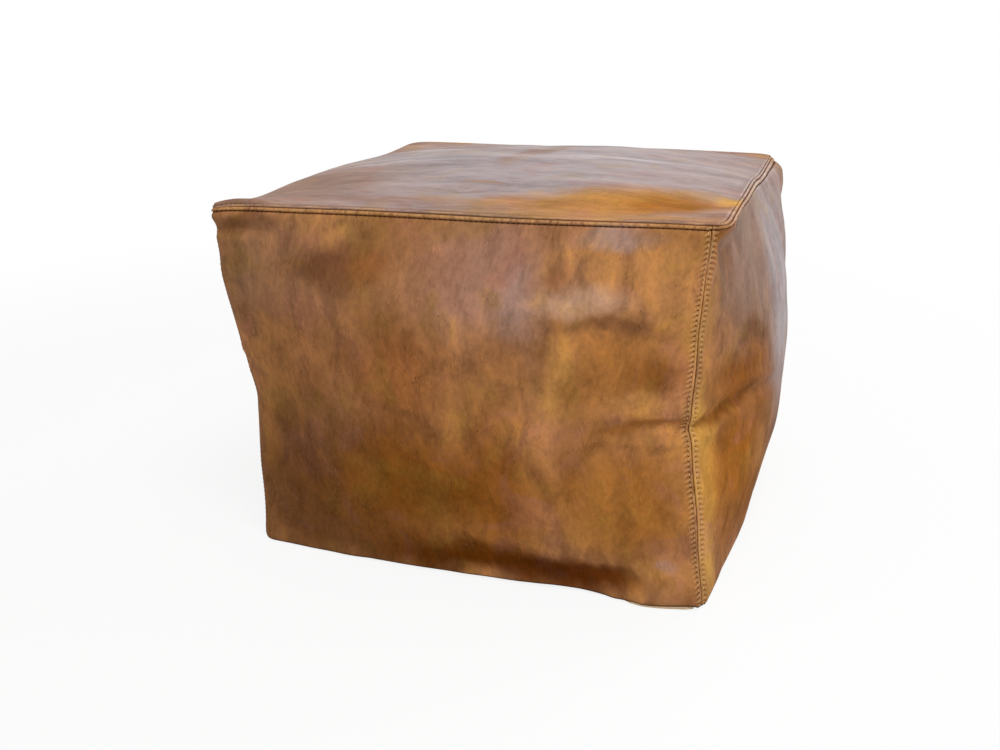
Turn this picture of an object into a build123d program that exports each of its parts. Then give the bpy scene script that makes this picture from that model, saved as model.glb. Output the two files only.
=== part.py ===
"""Square leather pouf: a sewn cover of seven leather panels over a stuffed cotton bag.

Millimetres, +Z up. The origin is on the floor under the middle of the base, the front
panel faces -Y and the right panel faces +X.
"""
import os

from build123d import *

# ---- driving dimensions -------------------------------------------------------------
top_width = 450.0        # width and depth of the top, edge to edge
seam_height = 334.0      # floor to the top edge
crown = 18.0             # how far the middle of the top stands above its edges
leather = 2.0            # thickness of the top and side panels
base_leather = 2.2       # thickness of the base panels
base_turn_up = 4.0       # height of the base panels' edge, where the sides are sewn on
base_edge_radius = 5.0   # rounding under the base edge

seam_tape = 0.8          # thickness of the backing tape behind a twin-needle seam
seam_tape_width = 10.0   # how far the tape reaches to each side of the seam
thread = 0.5             # how far a row of stitches stands proud
thread_width = 1.0
zip_row = 9.0            # from the middle of the zip to the rows that hold its tapes
stitch_inset = 4.0       # from the seam to each row of stitches
base_seam_height = 5.0   # the hidden row that joins the sides to the base

layer_gap = 0.6          # air between neighbouring layers inside the cover
bag_cloth = 0.6
bag_floor = 8.2          # height of the bag over the zip's inner face

# How the walls swell: (height, corner seam drawn in, side beyond the line of its corners)
wall_levels = [
    (0.0, 5.0, 8.0),
    (33.0, 9.0, 22.0),
    (83.0, 12.0, 38.0),
    (150.0, 16.5, 50.0),
    (207.0, 12.0, 44.0),
    (274.0, 5.0, 28.0),
    (seam_height - leather, 0.0, 0.5),
]
crown_stations = 7       # sections of the crowned top from front to back
crown_edge_rise = 0.5    # the crown that is left over the front and back edges
rim_taper = 1.4          # a layer's top edge stands in by this many times its inset

# ---- zip in the base ----------------------------------------------------------------
slot_length = 370.0
slot_width = 10.0
hem_width = 12.0         # folded hem round the slot
zip_tape_thickness = 0.6
zip_tape_width = 13.0
zip_tape_length = 356.0
chain_start = -160.0
chain_end = 151.0
tooth_pitch = 3.0
tooth_length = 1.3
tooth_reach = 2.6        # from the middle of the chain to a tooth's back
tooth_overlap = 0.9      # how far a tooth reaches past the middle
tooth_height = 2.6
stop_length = 2.5
stop_height = 2.2
stop_gap = 1.5           # from the closed slider to the top stops

slider_x = 150.0         # middle of the slider with the zip closed
slider_length = 12.0
slider_width = 8.4
slider_plate = 0.9
slider_flange = 1.3
slider_post_length = 2.4
slider_post_width = 2.2
slider_clearance = 0.2   # around the chain and the tape
bridge_length = 7.0
bridge_width = 2.4
bridge_bar = 0.6
bridge_leg = 1.0
bridge_drop = 1.9        # from the slider's plate to the underside of the bridge
pull_thickness = 0.9
pull_length = 22.0
pull_width = 6.4
pull_rail = 1.4
pull_window = 4.8
pull_corner = 2.4
pull_hole_diameter = 3.0
pull_hole_from_tip = 4.0

# ---- worked out from the above ------------------------------------------------------
half_width = top_width / 2
hem_top = 2 * base_leather
chain_z = hem_top + zip_tape_thickness / 2
slider_low = chain_z - tooth_height / 2 - slider_clearance
slider_high = chain_z + tooth_height / 2 + slider_clearance
plate_under = slider_low - slider_plate
bridge_low = plate_under - bridge_drop
pull_z = (bridge_low + bridge_bar + plate_under) / 2
tape_inset = leather
bag_inset = tape_inset + seam_tape + layer_gap
stuffing_inset = bag_inset + bag_cloth + layer_gap
top_tape_low = seam_height - leather - seam_tape_width

os.makedirs("parts", exist_ok=True)


# ---- shapes shared by the layers ----------------------------------------------------
def wall_outline(height, drawn_in, swell):
    """Face bounded by four shallow arcs that meet at the corner seams."""
    corner = half_width - drawn_in
    front = [Vector(-corner, -corner), Vector(0, -corner - swell), Vector(corner, -corner)]
    with BuildSketch(Plane.XY.offset(height)) as outline:
        with BuildLine():
            for quarter in range(4):
                ThreePointArc(*[point.rotate(Axis.Z, 90 * quarter) for point in front])
        make_face()
    return outline.sketch


def wall_block(inset):
    """Solid inside the walls, each layer drawn in by inset from the leather's face."""
    with BuildPart() as block:
        for height, drawn_in, swell in wall_levels:
            add(wall_outline(height, drawn_in + inset, swell))
        loft()
    return block.part


def crown_block(inset):
    """Solid under the crowned top, from the layer's shoulder up."""
    reach = half_width - rim_taper * inset
    edge = seam_height - inset
    shoulder = edge - leather
    with BuildPart() as block:
        for station in range(crown_stations):
            along = reach * (2 * station / (crown_stations - 1) - 1)
            rise = crown * (1 - (along / half_width) ** 2) + crown_edge_rise
            with BuildSketch(Plane.XZ.offset(-along)):
                with BuildLine():
                    Polyline((-reach, edge), (-reach, shoulder), (reach, shoulder), (reach, edge))
                    ThreePointArc((-reach, edge), (0, edge + rise), (reach, edge))
                make_face()
        loft()
    return block.part


def envelope(inset, low=0.0):
    """Everything inside one layer of the pouf, down to the height low."""
    shoulder = seam_height - leather - inset
    with BuildPart() as layer:
        add(wall_block(inset))
        split(bisect_by=Plane.XY.offset(shoulder), keep=Keep.BOTTOM)
        add(crown_block(inset))
        if low > 0:
            split(bisect_by=Plane.XY.offset(low), keep=Keep.TOP)
    return layer.part


def slab(low, high):
    """Block between two heights, wider than the pouf."""
    with BuildPart() as block:
        with BuildSketch(Plane.XY.offset(low)):
            Rectangle(2 * top_width, 2 * top_width)
        extrude(amount=high - low)
    return block.part


def square_column(reach):
    """Square column up through the whole pouf, to reach either side of the middle."""
    with BuildPart() as column:
        with BuildSketch():
            Rectangle(2 * reach, 2 * reach)
        extrude(amount=2 * seam_height)
    return column.part


def side_wedge(side):
    """Wedge over one side of the pouf, between the diagonals through its corner seams."""
    far = top_width
    plan = [Vector(0, 0), Vector(-far, -far), Vector(far, -far)]
    with BuildPart() as wedge:
        with BuildSketch():
            with BuildLine():
                Polyline(*[point.rotate(Axis.Z, 90 * side) for point in plan], close=True)
            make_face()
        extrude(amount=seam_height - leather)
    return wedge.part


def corner_column(corner, across, along):
    """Column that follows a corner seam, between two offsets from it in X and in Y.

    The offsets are those of the front right corner, and the column is then turned.
    """
    with BuildPart() as column:
        for height, drawn_in, _ in wall_levels:
            seam = half_width - drawn_in
            plan = [Vector(seam + x, y - seam) for x in across for y in along]
            plan[2], plan[3] = plan[3], plan[2]
            with BuildSketch(Plane.XY.offset(height)):
                with BuildLine():
                    Polyline(*[point.rotate(Axis.Z, 90 * corner) for point in plan], close=True)
                make_face()
        loft(ruled=True)
    return column.part


def save(name, part):
    """Label a finished piece and write it to its own file."""
    part.label = name
    export_step(part, f"parts/{name}.step")


cover_outside = envelope(0)
cover_inside = envelope(leather)
base_hollow = envelope(leather, base_leather)
tape_inside = envelope(leather + seam_tape)
bag_outside = envelope(bag_inset, bag_floor)
bag_inside = envelope(bag_inset + bag_cloth, bag_floor + bag_cloth)
thread_outside = envelope(-thread)
thread_inside = envelope(leather + thread)

# ---- leather cover ------------------------------------------------------------------
with BuildPart() as top_panel:
    add(cover_outside)
    add(cover_inside, mode=Mode.SUBTRACT)
    split(bisect_by=Plane.XY.offset(seam_height - leather), keep=Keep.TOP)
save("top_panel", top_panel.part)

side_names = ["front", "right", "back", "left"]
for side, side_name in enumerate(side_names):
    with BuildPart() as side_panel:
        add(cover_outside)
        add(cover_inside, mode=Mode.SUBTRACT)
        add(side_wedge(side), mode=Mode.INTERSECT)
        split(bisect_by=Plane.XY.offset(base_turn_up), keep=Keep.TOP)
    save(f"{side_name}_panel", side_panel.part)

base_halves = {"base_panel_front": Keep.BOTTOM, "base_panel_rear": Keep.TOP}
for name, half in base_halves.items():
    with BuildPart() as base_panel:
        add(cover_outside)
        fillet(base_panel.edges().group_by(Axis.Z)[0], radius=base_edge_radius)
        split(bisect_by=Plane.XY.offset(base_turn_up), keep=Keep.BOTTOM)
        add(base_hollow, mode=Mode.SUBTRACT)
        with BuildSketch(Plane.XY.offset(base_leather)):
            Rectangle(slot_length + 2 * hem_width, slot_width + 2 * hem_width)
        extrude(amount=hem_top - base_leather)
        with BuildSketch():
            Rectangle(slot_length, slot_width)
        extrude(amount=hem_top, mode=Mode.SUBTRACT)
        split(bisect_by=Plane.XZ, keep=half)
    save(name, base_panel.part)

# ---- backing tapes behind the twin-needle seams --------------------------------------
corner_names = ["front_right", "back_right", "back_left", "front_left"]
beyond = 4 * seam_tape_width
for corner, corner_name in enumerate(corner_names):
    with BuildPart() as corner_tape:
        add(cover_inside)
        add(tape_inside, mode=Mode.SUBTRACT)
        add(corner_column(corner, (-seam_tape_width, beyond), (-beyond, seam_tape_width)),
            mode=Mode.INTERSECT)
        add(slab(base_seam_height + 2 * thread_width, top_tape_low), mode=Mode.INTERSECT)
    save(f"corner_tape_{corner_name}", corner_tape.part)

with BuildPart() as top_seam_tape:
    add(cover_inside)
    add(tape_inside, mode=Mode.SUBTRACT)
    add(square_column(half_width - leather - seam_tape_width), mode=Mode.SUBTRACT)
    split(bisect_by=Plane.XY.offset(top_tape_low), keep=Keep.TOP)
save("top_seam_tape", top_seam_tape.part)

# ---- rows of stitches ----------------------------------------------------------------
row = (stitch_inset - thread_width / 2, stitch_inset + thread_width / 2)

with BuildPart() as thread_top_inner:
    add(thread_outside)
    add(cover_outside, mode=Mode.SUBTRACT)
    add(square_column(half_width - row[0]), mode=Mode.INTERSECT)
    add(square_column(half_width - row[1]), mode=Mode.SUBTRACT)
    split(bisect_by=Plane.XY.offset(seam_height - leather), keep=Keep.TOP)
save("thread_top_inner", thread_top_inner.part)

with BuildPart() as thread_top_outer:
    add(thread_outside)
    add(cover_outside, mode=Mode.SUBTRACT)
    add(slab(seam_height - row[1], seam_height - row[0]), mode=Mode.INTERSECT)
save("thread_top_outer", thread_top_outer.part)

for corner, corner_name in enumerate(corner_names):
    with BuildPart() as thread_corner:
        add(corner_column(corner, (-row[1], -row[0]), (-beyond, beyond)))
        add(corner_column(corner, (-beyond, beyond), row))
        add(thread_outside, mode=Mode.INTERSECT)
        add(cover_outside, mode=Mode.SUBTRACT)
        add(slab(2 * base_turn_up, seam_height - 2 * stitch_inset), mode=Mode.INTERSECT)
    save(f"thread_corner_{corner_name}", thread_corner.part)

with BuildPart() as thread_base_seam:
    add(cover_inside)
    add(thread_inside, mode=Mode.SUBTRACT)
    add(slab(base_seam_height, base_seam_height + thread_width), mode=Mode.INTERSECT)
save("thread_base_seam", thread_base_seam.part)

with BuildPart() as thread_zip:
    with BuildSketch(Plane.XY.offset(hem_top + zip_tape_thickness)):
        with Locations((0, -zip_row), (0, zip_row)):
            Rectangle(zip_tape_length - 2 * stitch_inset, thread_width)
    extrude(amount=thread)
save("thread_zip", thread_zip.part)

# ---- zip -------------------------------------------------------------------------------
for name, out in {"front": -1, "rear": 1}.items():
    with BuildPart() as zip_tape:
        with BuildSketch(Plane.XY.offset(hem_top)):
            with Locations((0, out * (tooth_reach + zip_tape_width / 2))):
                Rectangle(zip_tape_length, zip_tape_width)
        extrude(amount=zip_tape_thickness)
    save(f"zip_tape_{name}", zip_tape.part)

    with BuildPart() as zip_teeth:
        tooth_depth = tooth_reach + tooth_overlap
        first = chain_start + (0.75 + out * 0.25) * tooth_pitch
        count = int((chain_end - first) // tooth_pitch) + 1
        places = [(first + tooth * tooth_pitch, out * (tooth_reach - tooth_depth / 2))
                  for tooth in range(count)]
        with BuildSketch(Plane.XY.offset(chain_z - tooth_height / 2)):
            with Locations(*places):
                Rectangle(tooth_length, tooth_depth)
        extrude(amount=tooth_height)
    save(f"zip_teeth_{name}", zip_teeth.part)

with BuildPart() as zip_top_stops:
    stop_x = slider_x + slider_length / 2 + stop_gap + stop_length / 2
    with BuildSketch(Plane.XY.offset(chain_z - stop_height / 2)):
        with Locations((stop_x, -tooth_reach / 2), (stop_x, tooth_reach / 2)):
            Rectangle(stop_length, tooth_reach - 2 * slider_clearance)
    extrude(amount=stop_height)
save("zip_top_stops", zip_top_stops.part)

with BuildPart() as zip_bottom_stop:
    with BuildSketch(Plane.XY.offset(chain_z - stop_height / 2)):
        with Locations((chain_start - stop_length, 0)):
            Rectangle(stop_length, 2 * tooth_reach)
    extrude(amount=stop_height)
save("zip_bottom_stop", zip_bottom_stop.part)

with BuildPart() as zip_slider:
    with BuildSketch(Plane.XY.offset(plate_under)):
        with Locations((slider_x, 0)):
            RectangleRounded(slider_length, slider_width, slider_width / 4)
    extrude(amount=slider_high + slider_plate - plate_under)
    with BuildSketch(Plane.XY.offset(slider_low)):
        with Locations((slider_x, 0)):
            Rectangle(slider_length, slider_width - 2 * slider_flange)
    extrude(amount=slider_high - slider_low, mode=Mode.SUBTRACT)
    with BuildSketch(Plane.XY.offset(hem_top - slider_clearance)):
        with Locations((slider_x, 0)):
            Rectangle(slider_length, slider_width)
    extrude(amount=zip_tape_thickness + 2 * slider_clearance, mode=Mode.SUBTRACT)
    with BuildSketch(Plane.XY.offset(slider_low)):
        with Locations((slider_x + (slider_length - slider_post_length) / 2, 0)):
            Rectangle(slider_post_length, slider_post_width)
    extrude(amount=slider_high - slider_low)
    with BuildSketch(Plane.XY.offset(bridge_low)):
        with Locations((slider_x, 0)):
            Rectangle(bridge_length, bridge_width)
    extrude(amount=bridge_drop)
    with BuildSketch(Plane.XY.offset(bridge_low + bridge_bar)):
        with Locations((slider_x, 0)):
            Rectangle(bridge_length - 2 * bridge_leg, bridge_width)
    extrude(amount=bridge_drop - bridge_bar, mode=Mode.SUBTRACT)
save("zip_slider", zip_slider.part)

with BuildPart() as zip_pull:
    window_start = slider_x - pull_thickness / 2
    tip = slider_x - pull_length
    with BuildSketch(Plane.XY.offset(pull_z - pull_thickness / 2)) as tab:
        with Locations(((slider_x + tip) / 2, 0)):
            Rectangle(pull_length, pull_width)
        fillet(tab.vertices().group_by(Axis.X)[0], radius=pull_corner)
        with Locations((window_start - pull_window / 2, 0)):
            Rectangle(pull_window, pull_width - 2 * pull_rail, mode=Mode.SUBTRACT)
        with Locations((tip + pull_hole_from_tip, 0)):
            Circle(pull_hole_diameter / 2, mode=Mode.SUBTRACT)
    extrude(amount=pull_thickness)
    with BuildSketch(Plane.XZ):
        with Locations((slider_x, pull_z)):
            Circle(pull_thickness / 2)
    extrude(amount=pull_width / 2, both=True)
save("zip_pull", zip_pull.part)

# ---- stuffed cotton bag ----------------------------------------------------------------
bag_shoulder = seam_height - leather - bag_inset - bag_cloth

with BuildPart() as inner_bag_top:
    add(bag_outside)
    add(bag_inside, mode=Mode.SUBTRACT)
    split(bisect_by=Plane.XY.offset(bag_shoulder), keep=Keep.TOP)
save("inner_bag_top", inner_bag_top.part)

with BuildPart() as inner_bag_sides:
    add(bag_outside)
    add(bag_inside, mode=Mode.SUBTRACT)
    add(slab(bag_floor + bag_cloth, bag_shoulder), mode=Mode.INTERSECT)
save("inner_bag_sides", inner_bag_sides.part)

with BuildPart() as inner_bag_base:
    add(bag_outside)
    split(bisect_by=Plane.XY.offset(bag_floor + bag_cloth), keep=Keep.BOTTOM)
save("inner_bag_base", inner_bag_base.part)

with BuildPart() as stuffing:
    add(envelope(stuffing_inset, bag_floor + bag_cloth + layer_gap))
save("stuffing", stuffing.part)
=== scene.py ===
"""A square stuffed leather pouf: five hide panels, a pale base and a zip.

Every length is in metres. The front panel faces -Y, the right panel +X. The four sides and
the four corner seams are numbered anticlockwise from above: side 0 is the front, side 1 the
right, and corner 0 stands between them.
"""
import bisect
import functools
import itertools
import math

import bmesh
import bpy
from mathutils import Matrix, Vector, noise


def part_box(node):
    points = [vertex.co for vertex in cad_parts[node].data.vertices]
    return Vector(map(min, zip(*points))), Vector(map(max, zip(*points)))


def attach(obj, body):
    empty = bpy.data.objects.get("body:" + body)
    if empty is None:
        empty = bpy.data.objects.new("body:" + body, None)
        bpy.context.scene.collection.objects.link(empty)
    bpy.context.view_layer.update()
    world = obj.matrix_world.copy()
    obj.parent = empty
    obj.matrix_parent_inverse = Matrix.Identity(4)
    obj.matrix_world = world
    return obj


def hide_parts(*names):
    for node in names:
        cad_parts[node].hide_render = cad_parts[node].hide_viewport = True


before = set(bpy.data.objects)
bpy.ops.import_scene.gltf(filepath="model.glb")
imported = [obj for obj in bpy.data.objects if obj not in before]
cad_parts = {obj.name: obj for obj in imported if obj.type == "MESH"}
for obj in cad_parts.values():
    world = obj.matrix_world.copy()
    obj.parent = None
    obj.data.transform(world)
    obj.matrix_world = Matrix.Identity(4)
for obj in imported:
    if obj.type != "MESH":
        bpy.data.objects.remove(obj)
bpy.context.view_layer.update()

MM = 0.001
UP = Vector((0, 0, 1))
SIDE_NAMES = ("front", "right", "back", "left")
CORNER_NAMES = ("front_right", "back_right", "back_left", "front_left")

# ---- thicknesses -----------------------------------------------------------------------
LEATHER = 2.0 * MM
BASE_LEATHER = 2.2 * MM
BAG_CLOTH = 0.6 * MM
SEAM_TAPE = 0.8 * MM
THREAD_ROW = 1.0 * MM    # width of a row of stitches in the frame

# ---- sizes taken from the frame --------------------------------------------------------
side_low, side_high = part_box("front_panel")
top_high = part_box("top_panel")[1]
tape_low, tape_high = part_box("zip_tape_front")
HALF = top_high.x
SEAM_Z = side_high.z + LEATHER
CROWN = top_high.z - SEAM_Z
BASE_Z = side_low.z
HEM_TOP = tape_low.z
TAPE = tape_high.z - HEM_TOP
TAPE_END = tape_high.x
TAPE_NEAR, TAPE_FAR = -tape_high.y, -tape_low.y
ZIP_ROW = -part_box("thread_zip")[0].y - THREAD_ROW / 2
BAG_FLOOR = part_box("inner_bag_base")[0].z

SPREAD = 470.0           # width of a side's hide in millimetres, from seam to seam
WIDTH = SPREAD * MM
HEIGHT = SEAM_Z - BASE_Z

# ---- how the walls swell ---------------------------------------------------------------
# Along HEIGHTS, from the floor up, in millimetres; the corners go anticlockwise from front right.
HEIGHTS = (0, 33, 83, 150, 207, 274, SEAM_Z / MM)
CORNER_DRAW = (
    (-2, 3, 8, 17, 14, 8, 0),
    (5, 9, 12, 16, 12, 5, 2),
    (5, 9, 12, 16, 12, 5, 0),
    (10.5, 13, 13.5, 15, 7.5, -0.7, -1),
)
CORNER_ROUND = (
    (14, 13, 12, 12, 12, 13, 15),
    (14, 13, 12, 12, 14, 18, 26),
    (14, 13, 12, 12, 14, 18, 26),
    (14, 13, 12, 12, 12, 12, 11),
)
SWELL = (8, 22, 38, 51, 45, 29, 1)
SEAM_TURN = (0.57, 0.4, 0.5, 0.1)   # share of each rounded corner on the left of its seam
SEAM_WANDER = 0.05       # by how much that share wanders
SEAM_WAVE = 40 * MM      # and over what height
ROLL_UNDER = 14 * MM     # height over which the sides roll under to the base
ROLL_DEPTH = 3 * MM

# The top seam rises and dips on its way round: places count corners, from front left.
RIM_PLACES = (0, 0.06, 0.2, 0.35, 0.5, 0.65, 0.8, 0.93, 1, 1.045, 1.1, 1.22, 1.35, 1.5,
              1.62, 1.78, 1.9, 2, 2.3, 2.7, 3, 3.2, 3.45, 3.7, 3.82, 3.9, 3.96, 4)
RIM_RISE = (-1.5, 2.0, 2.8, 3.2, 2.6, 1.8, 2.0, 2.2, 1.3, 0.2, 3.0, 2.6, 0.2, 1.4,
            -1.6, -0.4, -3.2, -3, 0, 1, 3, -1.5, 0.5, -2, -4.5, -2.5, 1.0, -1.5)
RIM_REACH = 60 * MM      # how far down the sides its rise is felt
RIM_TURNS = (0, 0.93, 0.99, 1.03, 1.08, 1.2, 1.35, 1.5, 1.75, 1.92, 2.05, 2.35, 4)
RIM_OUT = (0, 0, -1.5, 7.5, 10, 7, 3, 0.5, -3, -8, -8, 0, 0)   # how far it wanders to the right
OUT_REACH, IN_REACH = 32 * MM, 15 * MM   # how far down that is felt, each way
SHOULDER = 4.2 * MM      # how far the hide stands out under the part that is drawn in
SHOULDER_FULL = 5 * MM   # wander to the left from which it stands out that far
SHOULDER_DEEP, SHOULDER_WIDE = 24 * MM, 24 * MM
NOSE = 4.5 * MM          # how far the front left corner pokes out under the top seam
NOSE_WIDE, NOSE_DEEP = 30 * MM, 16 * MM
RIM_RADIUS = 5 * MM


def turned(point, quarters):
    """The point, turned about the pouf's axis by quarter turns."""
    x, y, z = point
    for _ in range(quarters % 4):
        x, y = -y, x
    return Vector((x, y, z))


def curve(places, values, x):
    """Smooth value at x through values listed at places."""
    last = len(places) - 1
    k = min(max(bisect.bisect_right(places, x) - 1, 0), last - 1)
    rise = places[k + 1] - places[k]
    t = (x - places[k]) / rise

    def slope(i):
        low, high = max(i - 1, 0), min(i + 1, last)
        return (values[high] - values[low]) / (places[high] - places[low]) * rise

    t2, t3 = t * t, t * t * t
    value = (2 * t3 - 3 * t2 + 1) * values[k] + (t3 - 2 * t2 + t) * slope(k)
    return value + (3 * t2 - 2 * t3) * values[k + 1] + (t3 - t2) * slope(k + 1)


def ease(share):
    """Nought to one, starting and ending gently."""
    t = min(max(share, 0), 1)
    return t * t * (3 - 2 * t)


def bell(distance, width):
    """One at the middle, falling smoothly to nothing past twice the width."""
    return math.exp(-(distance / width) ** 2)


def at_height(values, z):
    return curve(HEIGHTS, values, z / MM) * MM


@functools.cache
def corner_point(corner, z):
    """Where the two sides beside a corner would meet if it weren't rounded."""
    low = max(0.0, 1 - z / ROLL_UNDER)
    roll = ROLL_DEPTH * (1 - math.sqrt(max(0.0, 1 - low * low)))
    reach = HALF - at_height(CORNER_DRAW[corner % 4], z) - roll
    return turned((reach, -reach, z), corner)


@functools.cache
def swell_at(z):
    return at_height(SWELL, z)


@functools.cache
def round_at(corner, z):
    return at_height(CORNER_ROUND[corner % 4], z)


@functools.cache
def chord_at(side, z):
    return (corner_point(side, z) - corner_point(side - 1, z)).length


def side_point(side, t, z):
    """Point on one side before its corners are rounded; t runs 0 to 1 from left to right."""
    left, right = corner_point(side - 1, z), corner_point(side, z)
    out = turned((0, -1, 0), side)
    return left.lerp(right, t) + out * (swell_at(z) * 4 * t * (1 - t))


def corner_turn(corner, t, z):
    """Point on a rounded corner; t runs 0 to 1 from the side on its left to its right."""
    start = side_point(corner, 1 - round_at(corner, z) / chord_at(corner, z), z)
    end = side_point(corner + 1, round_at(corner, z) / chord_at(corner + 1, z), z)
    return start.lerp(corner_point(corner, z), t).lerp(corner_point(corner, z).lerp(end, t), t)


def seam_turn(corner, z):
    """Share of a rounded corner to the left of its seam, which wanders a little."""
    wander = SEAM_WANDER * noise.noise(Vector((z / SEAM_WAVE, corner % 4, 3)))
    return SEAM_TURN[corner % 4] + wander


def rim_wander(way, z):
    """How far to the right of its place the top seam, and the hide under it, lie."""
    out = curve(RIM_TURNS, RIM_OUT, way % 4) * MM
    wander = out * ease(1 - (SEAM_Z - z) / (OUT_REACH if out > 0 else IN_REACH))
    if out < 0:
        share = min(1, -out / SHOULDER_FULL)
        wander += SHOULDER * share * bell(SEAM_Z - z - SHOULDER_DEEP, SHOULDER_WIDE)
    return wander


def rim_shift(way, z):
    """How the top seam's rise and the poking corner move a point of the ring."""
    if z < SEAM_Z - RIM_REACH:
        return Vector((0, 0, 0))
    rise = curve(RIM_PLACES, RIM_RISE, way % 4) * MM * ease(1 - (SEAM_Z - z) / RIM_REACH)
    off = min(way % 4, 4 - way % 4) * WIDTH
    nose = NOSE * bell(off, NOSE_WIDE) * bell(SEAM_Z - z, NOSE_DEEP) * math.sqrt(0.5)
    return Vector((rim_wander(way, z) - nose, -nose, rise))


def ring_point(side, across, z, even=False):
    """Point on the smooth form; across runs 0 to 1 from the seam on the left to the right."""
    left, right = (0.5, 0.5) if even else (seam_turn(side - 1, z), seam_turn(side, z))
    left_round, right_round = round_at(side - 1, z), round_at(side, z)
    first, last = 2 * left_round * (1 - left), 2 * right_round * right
    middle = chord_at(side, z) - left_round - right_round
    d = across * (first + middle + last)
    if d < first:
        point = corner_turn(side - 1, left + d / (2 * left_round), z)
    elif d > first + middle:
        point = corner_turn(side, (d - first - middle) / (2 * right_round), z)
    else:
        point = side_point(side, (left_round + d - first) / chord_at(side, z), z)
    return point + rim_shift(side + across, z)


@functools.cache
def outward(side, across, z, even=False):
    """Level direction away from the pouf at a point of the ring."""
    step = 0.001
    run = ring_point(side, across + step, z, even) - ring_point(side, across - step, z, even)
    return Vector((run.y, -run.x, 0)).normalized()


def over_rim(distance, top):
    """How far in and down the hide lies, at a distance from the seam over the rounded rim."""
    way = 1 if top else -1
    angle = min(max(math.pi / 4 + way * distance / RIM_RADIUS, 0), math.pi / 2)
    inwards, down = RIM_RADIUS * (1 - math.cos(angle)), RIM_RADIUS * (1 - math.sin(angle))
    past = distance - RIM_RADIUS * math.pi / 4
    if past > 0:
        spare = RIM_RADIUS * (1 - math.pi / 4) * ease(past / RIM_REACH)
        inwards += (past - spare) if top else 0
        down += 0 if top else (past - spare)
    return inwards, down


def wall_point(side, across, distance, even=False):
    """Point on a side at a distance down from the top seam, its rim rounded."""
    inwards, down = over_rim(distance, False)
    z = SEAM_Z - down
    point = ring_point(side, across, z, even)
    if inwards > 0:
        point -= outward(side, across, z, even) * inwards
    return point


# ---- relief of the sewn hide -----------------------------------------------------------
STITCH_INSET = 4.0 * MM
STITCH_PITCH = 4.6 * MM
STITCH_GAP = 1.1 * MM    # the needle hole between two stitches
THREAD_RADIUS = 0.42 * MM
PUCKER = 0.6 * MM        # height of the ripples that the stitches draw up
PUCKER_OFF = 6.0 * MM    # distance of the highest of them from the seam
PUCKER_WIDE = 2.6 * MM   # how fast they die away from there
PUCKER_SLANT = 0.35      # how much they lean
CALMER = 0.4             # share of their height that is left on the right of a corner seam
PINCH = 10               # a nick with less than this half width draws up more of them
PINCH_WIDE = 3 * MM      # and wider ones

# Sections across a seam: distance from the seam and height of the hide, in millimetres.
CORNER_SEAM = ((0, -1.5), (0.5, -0.4), (1.1, 0.3), (2.0, 0.5), (3.0, 0.2), (3.5, -0.15),
               (4.0, -0.5), (4.6, -0.2), (6.2, 0.4), (10, 0.4), (18, 0.1), (26, 0))
RIM_SEAM = ((0, -0.4), (0.5, 0.0), (1.1, 0.4), (2.0, 0.7), (2.8, 0.5), (3.4, -0.6),
            (4.0, -1.5), (4.6, -0.8), (5.6, 0.0), (7.5, 0.35), (12, 0.3), (20, 0))
TOP_SEAM = ((0, -0.4), (0.5, 0.0), (1.1, 0.4), (2.0, 0.6), (3.0, 0.3), (3.5, -0.2),
            (4.0, -0.7), (4.6, -0.3), (6.5, 0.3), (11, 0.2), (20, 0))
BASE_SEAM = ((0, -0.4), (1.5, 0.2), (4, 0.5), (8, 0.2), (14, 0))


def section(steps, distance):
    """Height of the hide at a distance from a seam, smoothly between the steps."""
    d = distance / MM
    if d >= steps[-1][0]:
        return 0.0
    for (near, low), (far, high) in zip(steps, steps[1:]):
        if d <= far:
            return (low + (high - low) * ease((d - near) / (far - near))) * MM
    return 0.0


class Fold:
    """Crease or soft ridge in a panel, along (share across, height, depth) points in mm."""

    def __init__(self, width, *points, lip=0.35):
        self.width, self.lip, self.points = width, lip, points
        reach = 4 * width
        self.low = (min(p[0] for p in points) - reach / SPREAD, min(p[1] for p in points) - reach)
        self.high = (max(p[0] for p in points) + reach / SPREAD, max(p[1] for p in points) + reach)

    def height(self, u, z):
        if not (self.low[0] < u < self.high[0] and self.low[1] < z < self.high[1]):
            return 0.0
        nearest, total, weight = 1e9, 0.0, 1e-12
        for (ua, za, da), (ub, zb, db) in zip(self.points, self.points[1:]):
            x, y = (ub - ua) * SPREAD, zb - za
            p, q = (u - ua) * SPREAD, z - za
            t = min(max((p * x + q * y) / (x * x + y * y), 0), 1)
            off = math.hypot(p - x * t, q - y * t)
            share = bell(off, 1.5 * self.width)
            total += share * (da + (db - da) * t)
            weight += share
            nearest = min(nearest, off)
        groove = bell(nearest, self.width) - self.lip * bell(nearest - 2 * self.width, self.width)
        return total / weight * groove * MM


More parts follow.
